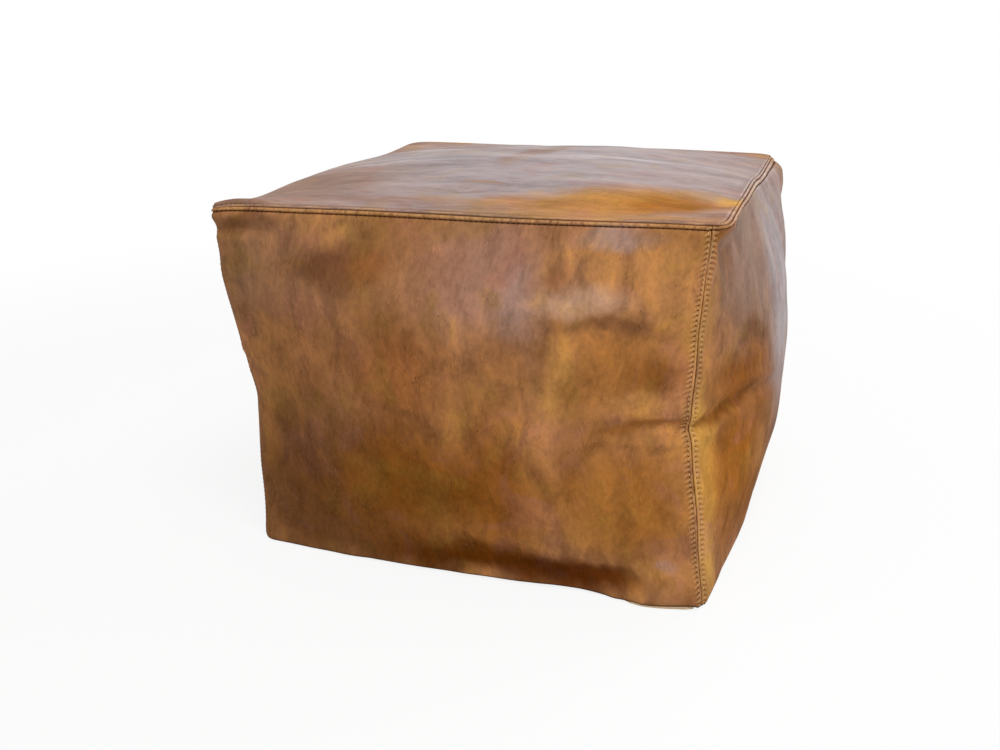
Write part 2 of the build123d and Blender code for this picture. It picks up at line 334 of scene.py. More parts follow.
FOLDS = {
    "front": (
        Fold(6, (1.0, 157, -4.5), (0.965, 160, -3.4), (0.92, 161, -2.2), (0.85, 162, -1.2),
             (0.74, 164, -0.3)),
        Fold(3, (1.0, 148, -1.4), (0.93, 151, -1.1), (0.86, 155, -0.5)),
        Fold(4, (0.33, 174, -0.3), (0.38, 168, -1.0), (0.44, 164, -0.8), (0.5, 160, -0.2)),
        Fold(5, (0.0, 190, -2.2), (0.04, 181, -1.6), (0.085, 172, -0.4)),
        Fold(4, (0.012, 292, -0.5), (0.04, 270, -1.3), (0.075, 248, -0.5)),
        Fold(3, (0.05, 285, -0.3), (0.075, 262, -0.9), (0.1, 240, -0.2)),
        Fold(5, (0.0, 317, -0.2), (0.03, 316, -3.0), (0.08, 315, -4.2), (0.13, 314, -2.6),
             (0.17, 313, -0.4)),
        Fold(15, (0.3, 6, -1.0), (0.5, 12, -2.0), (0.7, 17, -5.0), (0.83, 22, -5.5),
             (0.92, 34, -1.5), lip=0.15),
        Fold(14, (0.66, 4, -1.0), (0.75, 4, -3.5), (0.81, 4, -2.5), (0.85, 4, 0), lip=0),
        Fold(18, (0.84, 6, 1.5), (0.89, 6, 9.5), (0.93, 6, 9.0), (0.965, 6, 4.5), (1.0, 6, 0),
             lip=0),
        Fold(22, (0.55, 312, -1.2), (0.62, 262, -2.6), (0.66, 215, -1.2), lip=0.3),
        Fold(24, (0.2, 300, -1.4), (0.26, 255, -2.8), (0.24, 200, -1.2), lip=0.3),
        Fold(20, (0.75, 230, 1.0), (0.84, 205, 3.0), (0.9, 190, 1.2), lip=0.3),
    ),
    "right": (
        Fold(7, (0.02, 157, -2.4), (0.06, 161, -4.4), (0.12, 165, -5.0), (0.2, 165, -4.6),
             (0.32, 158, -2.6), (0.46, 150, -0.8)),
        Fold(9, (0.0, 327, -3.0), (0.045, 319, -5.0), (0.085, 302, -2.5), (0.1, 280, -0.6)),
        Fold(2.5, (0.012, 326, 1.4), (0.019, 308, 1.3), (0.016, 285, 0.3)),
        Fold(2.5, (0.03, 324, 1.2), (0.04, 300, 0.9), (0.045, 282, 0.2)),
        Fold(5, (0.10, 327, -0.8), (0.14, 318, -1.6), (0.17, 300, -0.4)),
        Fold(18, (0.60, 325, -1.5), (0.66, 270, -3.0), (0.72, 200, -2.0), (0.7, 150, -0.6)),
        Fold(2.5, (0.0, 160, -1.4), (0.022, 168, -1.0), (0.045, 178, -0.2)),
        Fold(2.5, (0.0, 156, -1.6), (0.03, 157, -1.2), (0.06, 160, -0.2)),
        Fold(2.5, (0.0, 152, -1.4), (0.025, 147, -1.0), (0.05, 140, -0.2)),
        Fold(16, (0.0, 8, -0.5), (0.05, 9, 1.0), (0.12, 8, 0.5), lip=0),
        Fold(24, (0.3, 110, -1.4), (0.42, 80, -2.0), (0.5, 45, -0.8)),
    ),
    "back": (
        Fold(6, (0.0, 150, -3.6), (0.05, 154, -2.6), (0.12, 152, -1.2), (0.22, 156, -0.4)),
        Fold(7, (1.0, 164, -3.0), (0.95, 160, -2.6), (0.86, 163, -1.2), (0.75, 160, -0.4)),
        Fold(20, (0.35, 310, -1.2), (0.42, 255, -2.2), (0.38, 190, -0.8)),
        Fold(18, (0.7, 300, -0.8), (0.66, 240, -1.8), (0.7, 180, -0.6)),
        Fold(15, (0.1, 18, -2.0), (0.3, 12, -3.5), (0.5, 15, -2.0), lip=0.15),
    ),
    "left": (
        Fold(7, (1.0, 186, -3.2), (0.94, 176, -2.8), (0.85, 168, -1.4), (0.7, 166, -0.4)),
        Fold(6, (0.0, 160, -3.2), (0.06, 156, -2.0), (0.16, 158, -0.8)),
        Fold(10, (1.0, 318, -0.6), (0.95, 314, -2.4), (0.92, 298, -1.0), lip=0.1),
        Fold(22, (0.5, 300, -1.0), (0.44, 240, -2.2), (0.5, 180, -0.8)),
        Fold(15, (0.4, 14, -2.0), (0.6, 12, -3.5), (0.8, 18, -1.0), lip=0.15),
    ),
}

# Waves of the loose hide: how far apart they are and how high, in millimetres.
LUMPS = ((150, 1.8), (60, 0.9), (24, 0.28), (9, 0.07))


def lumps(point, seed):
    """Uneven filling and loose hide."""
    place = point + Vector((seed, 2 * seed, -seed))
    return sum(high * MM * noise.noise(place / (apart * MM)) for apart, high in LUMPS)


# Nicks that a crease pulls into a corner seam: height, half width and depth in millimetres.
NICKS = (
    ((157, 7, 3.6), (236, 22, 0.8)),
    ((150, 11, 2.2), (262, 20, 1.0)),
    ((162, 10, 2.2), (90, 25, 1.0)),
    ((150, 12, 1.0),),
)
NICK_REACH = 15 * MM


def pucker(corner, z, edge, seed):
    """Ripples that the stitches draw up beside a corner seam, more of them at its nicks."""
    pinched = sum(bell(z / MM - at, 2 * wide) for at, wide, _ in NICKS[corner % 4]
                  if wide < PINCH)
    uneven = 1.2 * noise.noise(Vector((z / (16 * MM), seed, 0)))
    slant = z + PUCKER_SLANT * edge
    wave = math.sin(2 * math.pi * slant / STITCH_PITCH + uneven)
    strength = 0.8 + 0.9 * noise.noise(Vector((z / (30 * MM), seed, 7))) + 0.4 * pinched
    return PUCKER * wave * strength * bell(edge - PUCKER_OFF, PUCKER_WIDE + PINCH_WIDE * pinched)


def nick(corner, z, edge):
    """Depth of the nicks of a corner seam, at a height and a distance from it."""
    deep = sum(d * bell(z / MM - at, wide) for at, wide, d in NICKS[corner % 4])
    return -deep * MM * bell(edge, NICK_REACH)


# ---- how the filled hide settles -------------------------------------------------------
CELLS = 44               # squares along an edge of the simulated cover
EXCESS = 0.02            # how much larger the hide is cut than the form under it
PRESSURE = 1.5
SETTLE_FRAMES = 22
SETTLE_CAP = 4 * MM
KEPT = 0.4               # share of the dents that the hide keeps once it has stretched
SMOOTHING = 40           # rounds of averaging that find the cover's even swelling
FOOT_CALM = 20 * MM      # height over which the dents come in above the foot
CROWN_EDGE = 8           # the higher, the flatter the sides of the form under the crown
ON_FACE = 0.999          # from here on a place is on a face of the cube


def cube_place(x, y):
    """Side, share across it, and reach from the middle, of a point in the unit square."""
    reach = max(abs(x), abs(y), 1e-9)
    if -y >= abs(x):
        side, across = 0, x / reach
    elif x >= abs(y):
        side, across = 1, y / reach
    elif y >= abs(x):
        side, across = 2, -x / reach
    else:
        side, across = 3, -y / reach
    return side, (across + 1) / 2, reach


def swelled_cube(cells, low, high):
    """Closed form between two heights: a cube swelled out to the walls, with the places."""
    bm = bmesh.new()
    bmesh.ops.create_cube(bm, size=2)
    bmesh.ops.subdivide_edges(bm, edges=bm.edges, cuts=cells - 1, use_grid_fill=True)
    places = {}
    for vert in bm.verts:
        x, y, up = places[vert] = tuple(vert.co)
        side, across, reach = cube_place(x, y)
        z = low + (high - low) * (up + 1) / 2
        loose = Vector((max(rim_wander(side + across, z), 0), 0, 0))
        vert.co = (UP * z).lerp(ring_point(side, across, z, True) - loose, reach)
        vert.co.z += max(up, 0) ** CROWN_EDGE * CROWN * (1 - x * x) * (1 - y * y)
    bm.normal_update()
    return bm, places


def new_mesh(name, bm):
    mesh = bpy.data.meshes.new(name)
    bm.to_mesh(mesh)
    return mesh


def new_object(name, data):
    """An object of its own, in the scene."""
    made = bpy.data.objects.new(name, data)
    bpy.context.scene.collection.objects.link(made)
    return made


def shade_smooth(bm):
    for face in bm.faces:
        face.smooth = True


def filled_as_cloth(bm, held):
    """How far each vertex of a cover moves outwards when it is filled, its seams held."""
    mesh = new_mesh("filling", bm)
    cover = new_object("filling", mesh)
    scene = bpy.context.scene
    sewn = cover.vertex_groups.new(name="sewn")
    sewn.add(held, 1.0, "REPLACE")
    cloth = cover.modifiers.new("cloth", "CLOTH")
    hide = cloth.settings
    hide.quality = 5
    hide.mass = 0.5
    hide.tension_stiffness = hide.compression_stiffness = 25
    hide.shear_stiffness = 12
    hide.bending_stiffness = 1.5
    hide.vertex_group_mass = "sewn"
    hide.shrink_min = -EXCESS
    hide.use_pressure = True
    hide.uniform_pressure_force = PRESSURE
    hide.effector_weights.gravity = 0
    cloth.collision_settings.use_collision = False
    cloth.point_cache.frame_end = SETTLE_FRAMES
    for step in range(1, SETTLE_FRAMES + 1):
        scene.frame_set(step)
    filled = cover.evaluated_get(bpy.context.evaluated_depsgraph_get()).data
    out = [(after.co - before.co).dot(before.normal)
           for before, after in zip(mesh.vertices, filled.vertices)]
    scene.frame_set(1)
    bpy.data.objects.remove(cover)
    bpy.data.meshes.remove(mesh)
    return out


def settle():
    """The dents and swells that a filled hide keeps, by place on the cube of the form."""
    bm, places = swelled_cube(CELLS, BASE_Z, SEAM_Z)
    bm.verts.index_update()
    verts = list(bm.verts)
    held = [v.index for v in verts if places[v][2] < -ON_FACE
            or sum(abs(c) > ON_FACE for c in places[v]) > 1]
    out = filled_as_cloth(bm, held)
    beside = [[e.other_vert(v).index for e in v.link_edges] for v in verts]

    def averaged(values, rounds):
        for _ in range(rounds):
            values = [(values[k] + sum(values[n] for n in near)) / (1 + len(near))
                      for k, near in enumerate(beside)]
        return values

    out = averaged(out, 1)
    even = averaged(out, SMOOTHING)
    shifts = {}
    for v in verts:
        spot = tuple(round((c + 1) / 2 * CELLS) for c in places[v])
        own = out[v.index] - even[v.index]
        shifts[spot] = KEPT * min(max(own, -SETTLE_CAP), SETTLE_CAP)
    bm.free()
    return shifts


SETTLED = settle()


def settled(x, y, up):
    """Shift at a place on the cube's face, between the simulated vertices."""
    spots = [(c + 1) / 2 * CELLS for c in (x, y, up)]
    lows = [min(int(spot), CELLS - 1) for spot in spots]
    total = 0.0
    for ends in itertools.product((0, 1), repeat=3):
        share = math.prod(abs(1 - end - (spot - low))
                          for end, spot, low in zip(ends, spots, lows))
        if share:
            total += share * SETTLED.get(tuple(low + end for low, end in zip(lows, ends)), 0.0)
    return total


def settled_side(side, across, z):
    x, y, _ = turned((2 * across - 1, -1, 0), side)
    up = min(max(2 * (z - BASE_Z) / HEIGHT - 1, -1), 1)
    return settled(x, y, up) * ease((z - BASE_Z) / FOOT_CALM) if SETTLED else 0.0


def settled_top(u, v):
    return settled(2 * u - 1, 2 * v - 1, 1) if SETTLED else 0.0


# ---- grids -----------------------------------------------------------------------------
SEAM_STEPS = (0, 0.5, 1.0, 1.6, 2.2, 2.8, 3.4, 4.0, 4.6, 5.3, 6.2, 7.3, 8.8, 11, 14, 17.5)
STITCH_STEP = SEAM_STEPS.index(STITCH_INSET / MM)


def stations(length, step):
    """Shares of a length: close together beside the seams at its ends, step apart between."""
    near = [s * MM / length for s in SEAM_STEPS]
    free = 1 - 2 * near[-1]
    count = max(2, round(free * length / step))
    between = [near[-1] + free * k / count for k in range(1, count)]
    return near + between + [1 - s for s in reversed(near)]


class Sheet:
    """Grid of hide or cloth that keeps its rows and columns while it is shaped."""

    def __init__(self, across, along, place, outwards=None):
        self.across, self.along = across, along
        self.bm = bmesh.new()
        wide, high = len(across), len(along)
        bmesh.ops.create_grid(self.bm, x_segments=wide - 1, y_segments=high - 1, size=1)
        self.cells = {}
        for vert in self.bm.verts:
            i = round((vert.co.x + 1) / 2 * (wide - 1))
            j = round((vert.co.y + 1) / 2 * (high - 1))
            self.cells[i, j] = vert
        for (i, j), vert in self.cells.items():
            vert.co = place(across[i], along[j])
        shade_smooth(self.bm)
        self.bm.normal_update()
        centre = self.cells[wide // 2, high // 2]
        away = outwards or centre.co - UP * SEAM_Z / 2
        if centre.normal.dot(away) < 0:
            bmesh.ops.reverse_faces(self.bm, faces=self.bm.faces)
            self.bm.normal_update()

    def push(self, height, way):
        """Move each vertex by height(u, v, point) along way(u, v, normal)."""
        moves = {}
        for (i, j), vert in self.cells.items():
            u, v = self.across[i], self.along[j]
            moves[vert] = height(u, v, vert.co) * way(u, v, vert.normal)
        for vert, move in moves.items():
            vert.co += move
        self.bm.normal_update()

    def line(self, cells):
        """Points and normals at a line of the grid's vertices."""
        return [(self.cells[c].co.copy(), self.cells[c].normal.copy()) for c in cells]

    def column(self, i):
        return self.line((i, j) for j in range(len(self.along)))

    def row(self, j):
        return self.line((i, j) for i in range(len(self.across)))

    def map_by(self, name, pair_at):
        """A map whose two coordinates at a vertex of the grid are pair_at(i, j)."""
        layer = self.bm.loops.layers.uv.new(name)
        for (i, j), vert in self.cells.items():
            pair = pair_at(i, j)
            for loop in vert.link_loops:
                loop[layer].uv = pair

    def map_flat(self, width, height, name="hide"):
        """The sheet's own flat coordinates, in metres."""
        self.map_by(name, lambda i, j: (self.across[i] * width, self.along[j] * height))

    def map_seams(self, name, seams):
        """Map of length along the nearest row of stitches, and distance from its seam."""
        self.map_by(name, lambda i, j: min((f(i, j) for f in seams), key=lambda p: p[1]))


def lengths_along(line):
    """Running length at each point of a line of (point, normal) pairs."""
    runs = [0.0]
    for (a, _), (b, _) in zip(line, line[1:]):
        runs.append(runs[-1] + (b - a).length)
    return runs


def finish_piece(name, bm, nodes, material, thickness=0.0, body="pouf"):
    """Make the object, give it thickness inwards and put it in the place of its nodes."""
    piece = new_object(name, new_mesh(name, bm))
    bm.free()
    piece.data.materials.append(material)
    if thickness:
        wall = piece.modifiers.new("thickness", "SOLIDIFY")
        wall.thickness = thickness
        wall.offset = -1
    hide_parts(*nodes)
    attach(piece, body)
    return piece


# ---- finishes --------------------------------------------------------------------------
def operator(operation, reflected=False):
    """An arithmetic sign for sockets; reflected is for a number that stands first."""

    def method(self, other):
        first, second = (other, self) if reflected else (self, other)
        return self.finish.maths(operation, first, second)

    return method


class Socket:
    """A value in a finish; arithmetic on it adds Math nodes."""

    def __init__(self, finish, output):
        self.finish, self.output = finish, output

    __add__ = __radd__ = operator("ADD")
    __sub__, __rsub__ = operator("SUBTRACT"), operator("SUBTRACT", reflected=True)
    __mul__ = __rmul__ = operator("MULTIPLY")
    __truediv__ = operator("DIVIDE")


def rgb(red, green, blue):
    """A colour from 0 to 255 as the eye sees it, in the renderer's own terms."""
    parts = []
    for part in (red, green, blue):
        share = part / 255
        parts.append(share / 12.92 if share <= 0.04045 else ((share + 0.055) / 1.055) ** 2.4)
    return (*parts, 1.0)


class Nodes:
    """The nodes of a finish or of the room, and the methods that add to them."""

    def __init__(self, tree):
        self.tree = tree

    def add(self, kind, settings, inputs, output=0):
        """One node: its type, its settings, then the values or links of its sockets."""
        node = self.tree.nodes.new(kind)
        for key, value in settings.items():
            if key == "stops":
                ramp = node.color_ramp.elements
                while len(ramp) < len(value):
                    ramp.new(0.5)
                for stop, (place, colour) in zip(ramp, value):
                    stop.position, stop.color = place, colour
            else:
                setattr(node, key, value)
        for key, value in inputs.items():
            self.plug(node.inputs[key], value)
        return Socket(self, node.outputs[output])

    def plug(self, target, value):
        if isinstance(value, Socket):
            self.tree.links.new(value.output, target)
        else:
            target.default_value = value

    def show(self, shader):
        """Make a shader the one that is seen."""
        last = next(n for n in self.tree.nodes if n.bl_idname.startswith("ShaderNodeOutput"))
        self.plug(last.inputs["Surface"], shader)

    def maths(self, operation, *values):
        return self.add("ShaderNodeMath", {"operation": operation}, dict(enumerate(values)))

    def vectors(self, operation, *values):
        return self.add("ShaderNodeVectorMath", {"operation": operation},
                        dict(enumerate(values)), "Value" if operation == "LENGTH" else "Vector")

    def object_place(self):
        return self.add("ShaderNodeTexCoord", {}, {}, "Object")

    def own_map(self, name):
        return self.add("ShaderNodeUVMap", {"uv_map": name}, {})

    def patch_map(self, vector, at, tilt, size):
        """The vector as a patch sees it, with its middle, its tilt and its half widths."""
        return self.add("ShaderNodeMapping", {"vector_type": "TEXTURE"}, {
            "Vector": vector, "Location": at, "Rotation": (0, 0, tilt), "Scale": size})

    def noise(self, vector, size, detail=2.0, roughness=0.55, twist=0.0):
        """Noise about one half, whose blotches are about size across, in metres."""
        return self.add("ShaderNodeTexNoise", {}, {
            "Vector": vector, "Scale": 1 / size, "Detail": detail,
            "Roughness": roughness, "Distortion": twist})

    def wobbled(self, vector, size, by):
        """The vector, shifted about by noise, so that what it draws has ragged edges."""
        shift = self.add("ShaderNodeTexNoise", {}, {
            "Vector": vector, "Scale": 1 / size, "Detail": 3.0}, "Color")
        centred = self.vectors("SUBTRACT", shift, (0.5, 0.5, 0.5))
        return self.vectors("ADD", vector, self.vectors("MULTIPLY", centred, (by, by, by)))

    def cells(self, vector, size):
        return self.add("ShaderNodeTexVoronoi", {}, {"Vector": vector, "Scale": 1 / size},
                        "Distance")

    def smooth(self, value, low, high):
        """Nought below low, one above high, and smoothly between."""
        return self.add("ShaderNodeMapRange", {"interpolation_type": "SMOOTHSTEP"},
                        {"Value": value, "From Min": low, "From Max": high})

    def ramp(self, value, stops):
        return self.add("ShaderNodeValToRGB", {"stops": stops}, {0: value})

    def mix(self, share, under, over, blend="MIX"):
        return self.add("ShaderNodeMix", {"data_type": "RGBA", "blend_type": blend},
                        {0: share, 6: under, 7: over}, 2)

    def split(self, vector):
        parts = self.add("ShaderNodeSeparateXYZ", {}, {0: vector})
        return [Socket(self, parts.output.node.outputs[k]) for k in range(3)]

    def bump(self, height, reach, strength):
        return self.add("ShaderNodeBump", {}, {
            "Height": height, "Distance": reach, "Strength": strength})

    def seen_directly(self):
        """One for rays from the camera, mirrors and glass; nought for light on a surface."""
        rays = self.add("ShaderNodeLightPath", {}, {}).output.node.outputs
        direct = Socket(self, rays["Is Camera Ray"])
        for name in ("Is Glossy Ray", "Is Transmission Ray"):
            direct = self.maths("MAXIMUM", direct, Socket(self, rays[name]))
        return direct


class Finish(Nodes):
    """A material, with its fixed values set on its shader."""

    def __init__(self, name, **fixed):
        self.material = bpy.data.materials.new(name)
        self.material.use_nodes = True
        super().__init__(self.material.node_tree)
        self.shader = self.tree.nodes["Principled BSDF"]
        for key, value in fixed.items():
            self.shader.inputs[key.replace("_", " ").title().replace("Ior", "IOR")
                               ].default_value = value

    def feed(self, name, value):
        self.plug(self.shader.inputs[name], value)


DARK = rgb(74, 42, 20)
# painted shade for the foot of the sides, where they roll under
BURNT_FOOT_SHADE = rgb(92, 44, 6)
CHESTNUT = rgb(112, 70, 34)
TOBACCO = rgb(122, 70, 22)
TAWNY = rgb(124, 74, 6)
AMBER = rgb(154, 98, 30)
UMBER = rgb(117, 75, 48)
SADDLE = rgb(136, 79, 24)
RUSSET = rgb(143, 87, 44)
BROWN = rgb(148, 98, 58)
HAZEL = rgb(139, 99, 70)
COGNAC = rgb(160, 104, 50)
CARAMEL = rgb(154, 107, 71)
TAN = rgb(184, 128, 74)
OCHRE = rgb(178, 124, 60)
GOLD = rgb(214, 162, 80)
ORANGE = rgb(162, 98, 26)
# mauve tone, partly a painted sheen
MAUVE_AND_SHEEN = rgb(162, 119, 99)
# painted lilac sheen, a reflection of the bright room
LILAC_SHEEN = rgb(150, 135, 138)
# painted highlight
PEARL_HIGHLIGHT = rgb(186, 170, 176)
ROSE = rgb(150, 98, 78)
OLIVE = rgb(150, 112, 46)
# painted sheen
GREY_SHEEN = rgb(196, 154, 126)
POLISHED = rgb(134, 96, 72)
# dark of the joins, and painted shade in the needle grooves, needle holes and along the foot
SEAM_DARK = rgb(52, 26, 12)
# pale of the seam ridges, partly rub wear and partly a painted highlight, and the painted
# highlight on ripple crests
PALE_RUB_AND_HIGHLIGHT = rgb(214, 166, 112)
SCUFFED = rgb(190, 154, 120)
WRINKLED = rgb(204, 200, 194)
MOTTLE = (rgb(128, 126, 122), rgb(188, 188, 188), rgb(230, 226, 218))
WHITE = (1, 1, 1, 1)

# Patches of each panel: middle in mm from its lower left corner, half widths in mm, tilt in
# degrees, shade and strength.
PATCHES = {
    "front": (
        (70, 275, 90, 60, 0, HAZEL, 0.85),
        (205, 280, 60, 55, 0, CARAMEL, 0.75),
        (135, 287, 60, 22, 5, UMBER, 0.95),
        # painted shade in the crease under the top seam at the left; the next line is a painted
        # highlight on the puff above it
        (40, 313, 42, 6, -1, UMBER, 0.8),
        (30, 327, 34, 6, -2, OCHRE, 0.5),
        (180, 286, 26, 15, 0, RUSSET, 0.6),
        # mauve tone, partly a painted sheen
        (288, 280, 66, 60, 0, MAUVE_AND_SHEEN, 0.85),
        # painted lilac sheen
        (312, 256, 18, 40, 0, LILAC_SHEEN, 0.3),
        (350, 262, 10, 50, 2, RUSSET, 0.5),
        (436, 304, 48, 34, 0, TAN, 0.9),
        # painted grey sheen on the front
        (370, 265, 44, 17, 2, GREY_SHEEN, 0.78),
        # painted lilac sheen
        (392, 318, 34, 8, -3, LILAC_SHEEN, 0.5),
        (95, 205, 80, 55, 0, BROWN, 0.75),
        (60, 150, 50, 40, 10, UMBER, 0.35),
        (205, 195, 60, 48, 0, RUSSET, 0.8),
        (290, 198, 50, 48, 0, BROWN, 0.75),
        (405, 205, 64, 52, 0, COGNAC, 0.85),
        (396, 243, 60, 8, -3, UMBER, 0.6),
        (430, 203, 30, 17, 0, TOBACCO, 0.6),
        (348, 198, 14, 54, -6, TAN, 0.85),
        (425, 178, 40, 9, 4, TAN, 0.8),
        # painted shade in the valley of the fold across the front
        (430, 160, 46, 6, 3, TOBACCO, 0.7),
        (340, 150, 26, 22, 0, TAN, 0.5),
        (80, 70, 100, 105, 8, CHESTNUT, 1.0),
        (195, 95, 66, 74, 0, TOBACCO, 0.85),
        (285, 100, 60, 74, 0, SADDLE, 0.85),
        (405, 98, 66, 62, 0, COGNAC, 0.85),
        (360, 112, 9, 34, 0, SADDLE, 0.4),
        (416, 84, 26, 26, 0, RUSSET, 0.45),
        (452, 110, 14, 60, 0, TAN, 0.4),
        # painted shade along the foot, in this line and the next two
        (130, 22, 120, 24, -3, CHESTNUT, 0.8),
        (280, 20, 120, 22, -3, BURNT_FOOT_SHADE, 0.95),
        (225, 14, 80, 12, -3, BURNT_FOOT_SHADE, 0.55),
        (215, 80, 130, 75, 0, TAWNY, 0.45),
        (405, 92, 80, 62, 0, AMBER, 0.4),
        # painted shade along the foot
        (362, 16, 62, 15, -2, BURNT_FOOT_SHADE, 0.9),
        (442, 27, 30, 19, 0, TAN, 0.95),
        # painted lilac sheen on the lobe
        (439, 30, 10, 8, 0, LILAC_SHEEN, 0.32),
    ),
    "right": (
        (240, 165, 260, 190, 0, BROWN, 0.5),
        (150, 285, 170, 80, 0, POLISHED, 0.95),
        (215, 205, 70, 90, 0, POLISHED, 0.9),
        # painted lilac sheen on the upper right, in this line and the next
        (345, 240, 130, 130, 0, LILAC_SHEEN, 0.9),
        (235, 225, 66, 140, 0, LILAC_SHEEN, 0.85),
        (16, 265, 22, 60, 0, OCHRE, 0.65),
        (12, 318, 20, 10, -20, ORANGE, 0.6),
        (17, 80, 24, 100, 0, GOLD, 0.95),
        (10, 160, 14, 34, 0, GOLD, 0.8),
        (110, 217, 36, 16, -14, UMBER, 0.8),
        (80, 186, 62, 22, 0, SADDLE, 0.85),
        (80, 100, 75, 75, 0, ORANGE, 0.9),
        # painted shade in the valley of the fold across the right
        (62, 161, 62, 7, 8, TOBACCO, 0.85),
        (120, 45, 60, 36, 0, SADDLE, 0.7),
        (300, 90, 120, 80, 0, TOBACCO, 0.55),
        (390, 230, 80, 90, 0, BROWN, 0.5),
    ),
    "back": (
        (90, 90, 100, 80, 0, TOBACCO, 0.7),
        (330, 220, 110, 70, 10, COGNAC, 0.6),
        (230, 290, 120, 36, 0, POLISHED, 0.8),
        (400, 60, 80, 60, 0, SADDLE, 0.6),
        (190, 150, 60, 70, 0, OCHRE, 0.5),
        # mauve tone, partly a painted sheen
        (120, 230, 70, 40, 0, MAUVE_AND_SHEEN, 0.6),
        (300, 120, 40, 60, -10, TAN, 0.4),
        # painted shade along the foot
        (250, 14, 200, 24, 0, BURNT_FOOT_SHADE, 0.7),
    ),
    "left": (
        (380, 90, 100, 100, 0, CHESTNUT, 0.8),
        (120, 240, 90, 60, -10, COGNAC, 0.6),
        (260, 285, 110, 40, 0, POLISHED, 0.7),
        (150, 80, 80, 60, 0, SADDLE, 0.7),
        (300, 170, 40, 70, 0, OCHRE, 0.45),
        (400, 250, 60, 60, 0, HAZEL, 0.7),
        # painted shade along the foot
        (240, 14, 200, 24, 0, BURNT_FOOT_SHADE, 0.7),
    ),
    "top": (
        # painted lilac sheen over the whole top
        (225, 225, 330, 330, 0, LILAC_SHEEN, 0.95),
        (60, 110, 90, 90, 0, HAZEL, 0.6),
        (225, 250, 14, 95, -6, HAZEL, 0.6),
        # painted highlights in streaks across the top, in this line and the next two
        (150, 330, 110, 12, 16, PEARL_HIGHLIGHT, 0.7),
        (300, 230, 120, 12, 14, PEARL_HIGHLIGHT, 0.7),
        (120, 190, 70, 8, 6, PEARL_HIGHLIGHT, 0.5),
        (120, 330, 60, 18, -10, BROWN, 0.5),
        (150, 296, 26, 4, 10, UMBER, 0.6),
        (362, 62, 115, 46, 20, OCHRE, 1.0),
        (392, 62, 52, 26, 20, ORANGE, 0.8),
        (436, 98, 20, 16, 20, GOLD, 0.95),
        (300, 34, 90, 18, 6, TAN, 0.7),
        (350, 12, 130, 14, 3, OCHRE, 0.7),
        (221, 92, 22, 10, 0, OCHRE, 0.5),
        (60, 440, 80, 16, 0, OCHRE, 0.7),
        (436, 440, 30, 30, 0, OCHRE, 0.6),
        # mauve tone, partly a painted sheen
        (150, 34, 120, 12, 0, MAUVE_AND_SHEEN, 0.5),
    ),
}

# How much wax shines on a shade, and on the others.
SHINE = {TAWNY: 0.0, BURNT_FOOT_SHADE: 0.0, OCHRE: 0.2, HAZEL: 0.25, MAUVE_AND_SHEEN: 0.3, GREY_SHEEN: 0.42,
         POLISHED: 0.6, LILAC_SHEEN: 0.75, PEARL_HIGHLIGHT: 0.8}
DULL = 0.08

# Sizes of the marks of the hide.
DYE, TINT, SMEAR, FINE = 120 * MM, 45 * MM, 22 * MM, 4.2 * MM
SCUFF, SCUFFED_SPOT = 1.2 * MM, 50 * MM
WRINKLE, WRINKLED_SPOT = 4.2 * MM, 42 * MM
SPECK, PORE, GRAIN, FINE_GRAIN = 3.4 * MM, 1.6 * MM, 1.7 * MM, 0.9 * MM
RELIEF = 0.35 * MM       # how deep the marks are
WRINKLE_SLANT = math.radians(-22)
GROOVE = 0.9 * MM        # half width of the groove that a row of stitches lies in


class Seam:
    """What a seam does to the hide beside it, from its own map: the paint and the relief."""

    def __init__(self, f, name, uneven):
        self.f = f
        self.along, self.across, _ = f.split(f.own_map(name))
        self.cycle = self.along / STITCH_PITCH
        self.uneven = uneven

    def line(self, at, wide):
        """One on a line at a distance from the seam, fading over its width."""
        return self.f.smooth(self.f.maths("ABSOLUTE", self.across - at), wide, wide * 0.25)

    def holes(self):
        """Needle holes between the stitches."""
        between = self.f.maths("ABSOLUTE", self.f.maths("FRACT", self.cycle) - 0.5)
        return self.f.smooth(between, 0.37, 0.45) * self.line(STITCH_INSET, GROOVE)

    def ripple(self):
        """Slanting wave of the hide that the stitches draw up, just outside their row."""
        beside = self.f.smooth(self.across, 4.4 * MM, 5.2 * MM) * self.f.smooth(
            self.across, 11 * MM, 5.5 * MM)
        slant = self.cycle + self.across * (PUCKER_SLANT / STITCH_PITCH)
        return beside * self.f.maths("SINE", slant * 2 * math.pi + self.uneven * 4)

    def painted(self, colour, join, groove, ridge, ripple):
        """Dark in the join, painted shade in the needle groove, pale on the ridge between (partly
        rub wear, partly a painted highlight), and painted light and shade on the ripples.
        """
        f = self.f
        # the ridge is painted pale in patches, partly as rub wear and partly as a painted
        # highlight
        ridge_patchy = f.smooth(self.uneven, 0.35, 0.65)
        colour = f.mix(self.line(1.9 * MM, 1.5 * MM) * ridge_patchy * ridge, colour, PALE_RUB_AND_HIGHLIGHT)
        # painted highlight on the ripples' crests and painted shade in their troughs
        colour = f.mix(self.ripple() * ripple, colour, PALE_RUB_AND_HIGHLIGHT)
        colour = f.mix(self.ripple() * -ripple, colour, CHESTNUT)
        # painted shade in the needle groove
        colour = f.mix(self.line(STITCH_INSET, GROOVE) * groove, colour, SEAM_DARK)
        return f.mix(self.line(0.0, 0.6 * MM) * join, colour, SEAM_DARK)


DOWN, ALONG = (1.0, 0.6, 1.0), (0.22, 0.85, 1.0)   # how the marks are drawn out


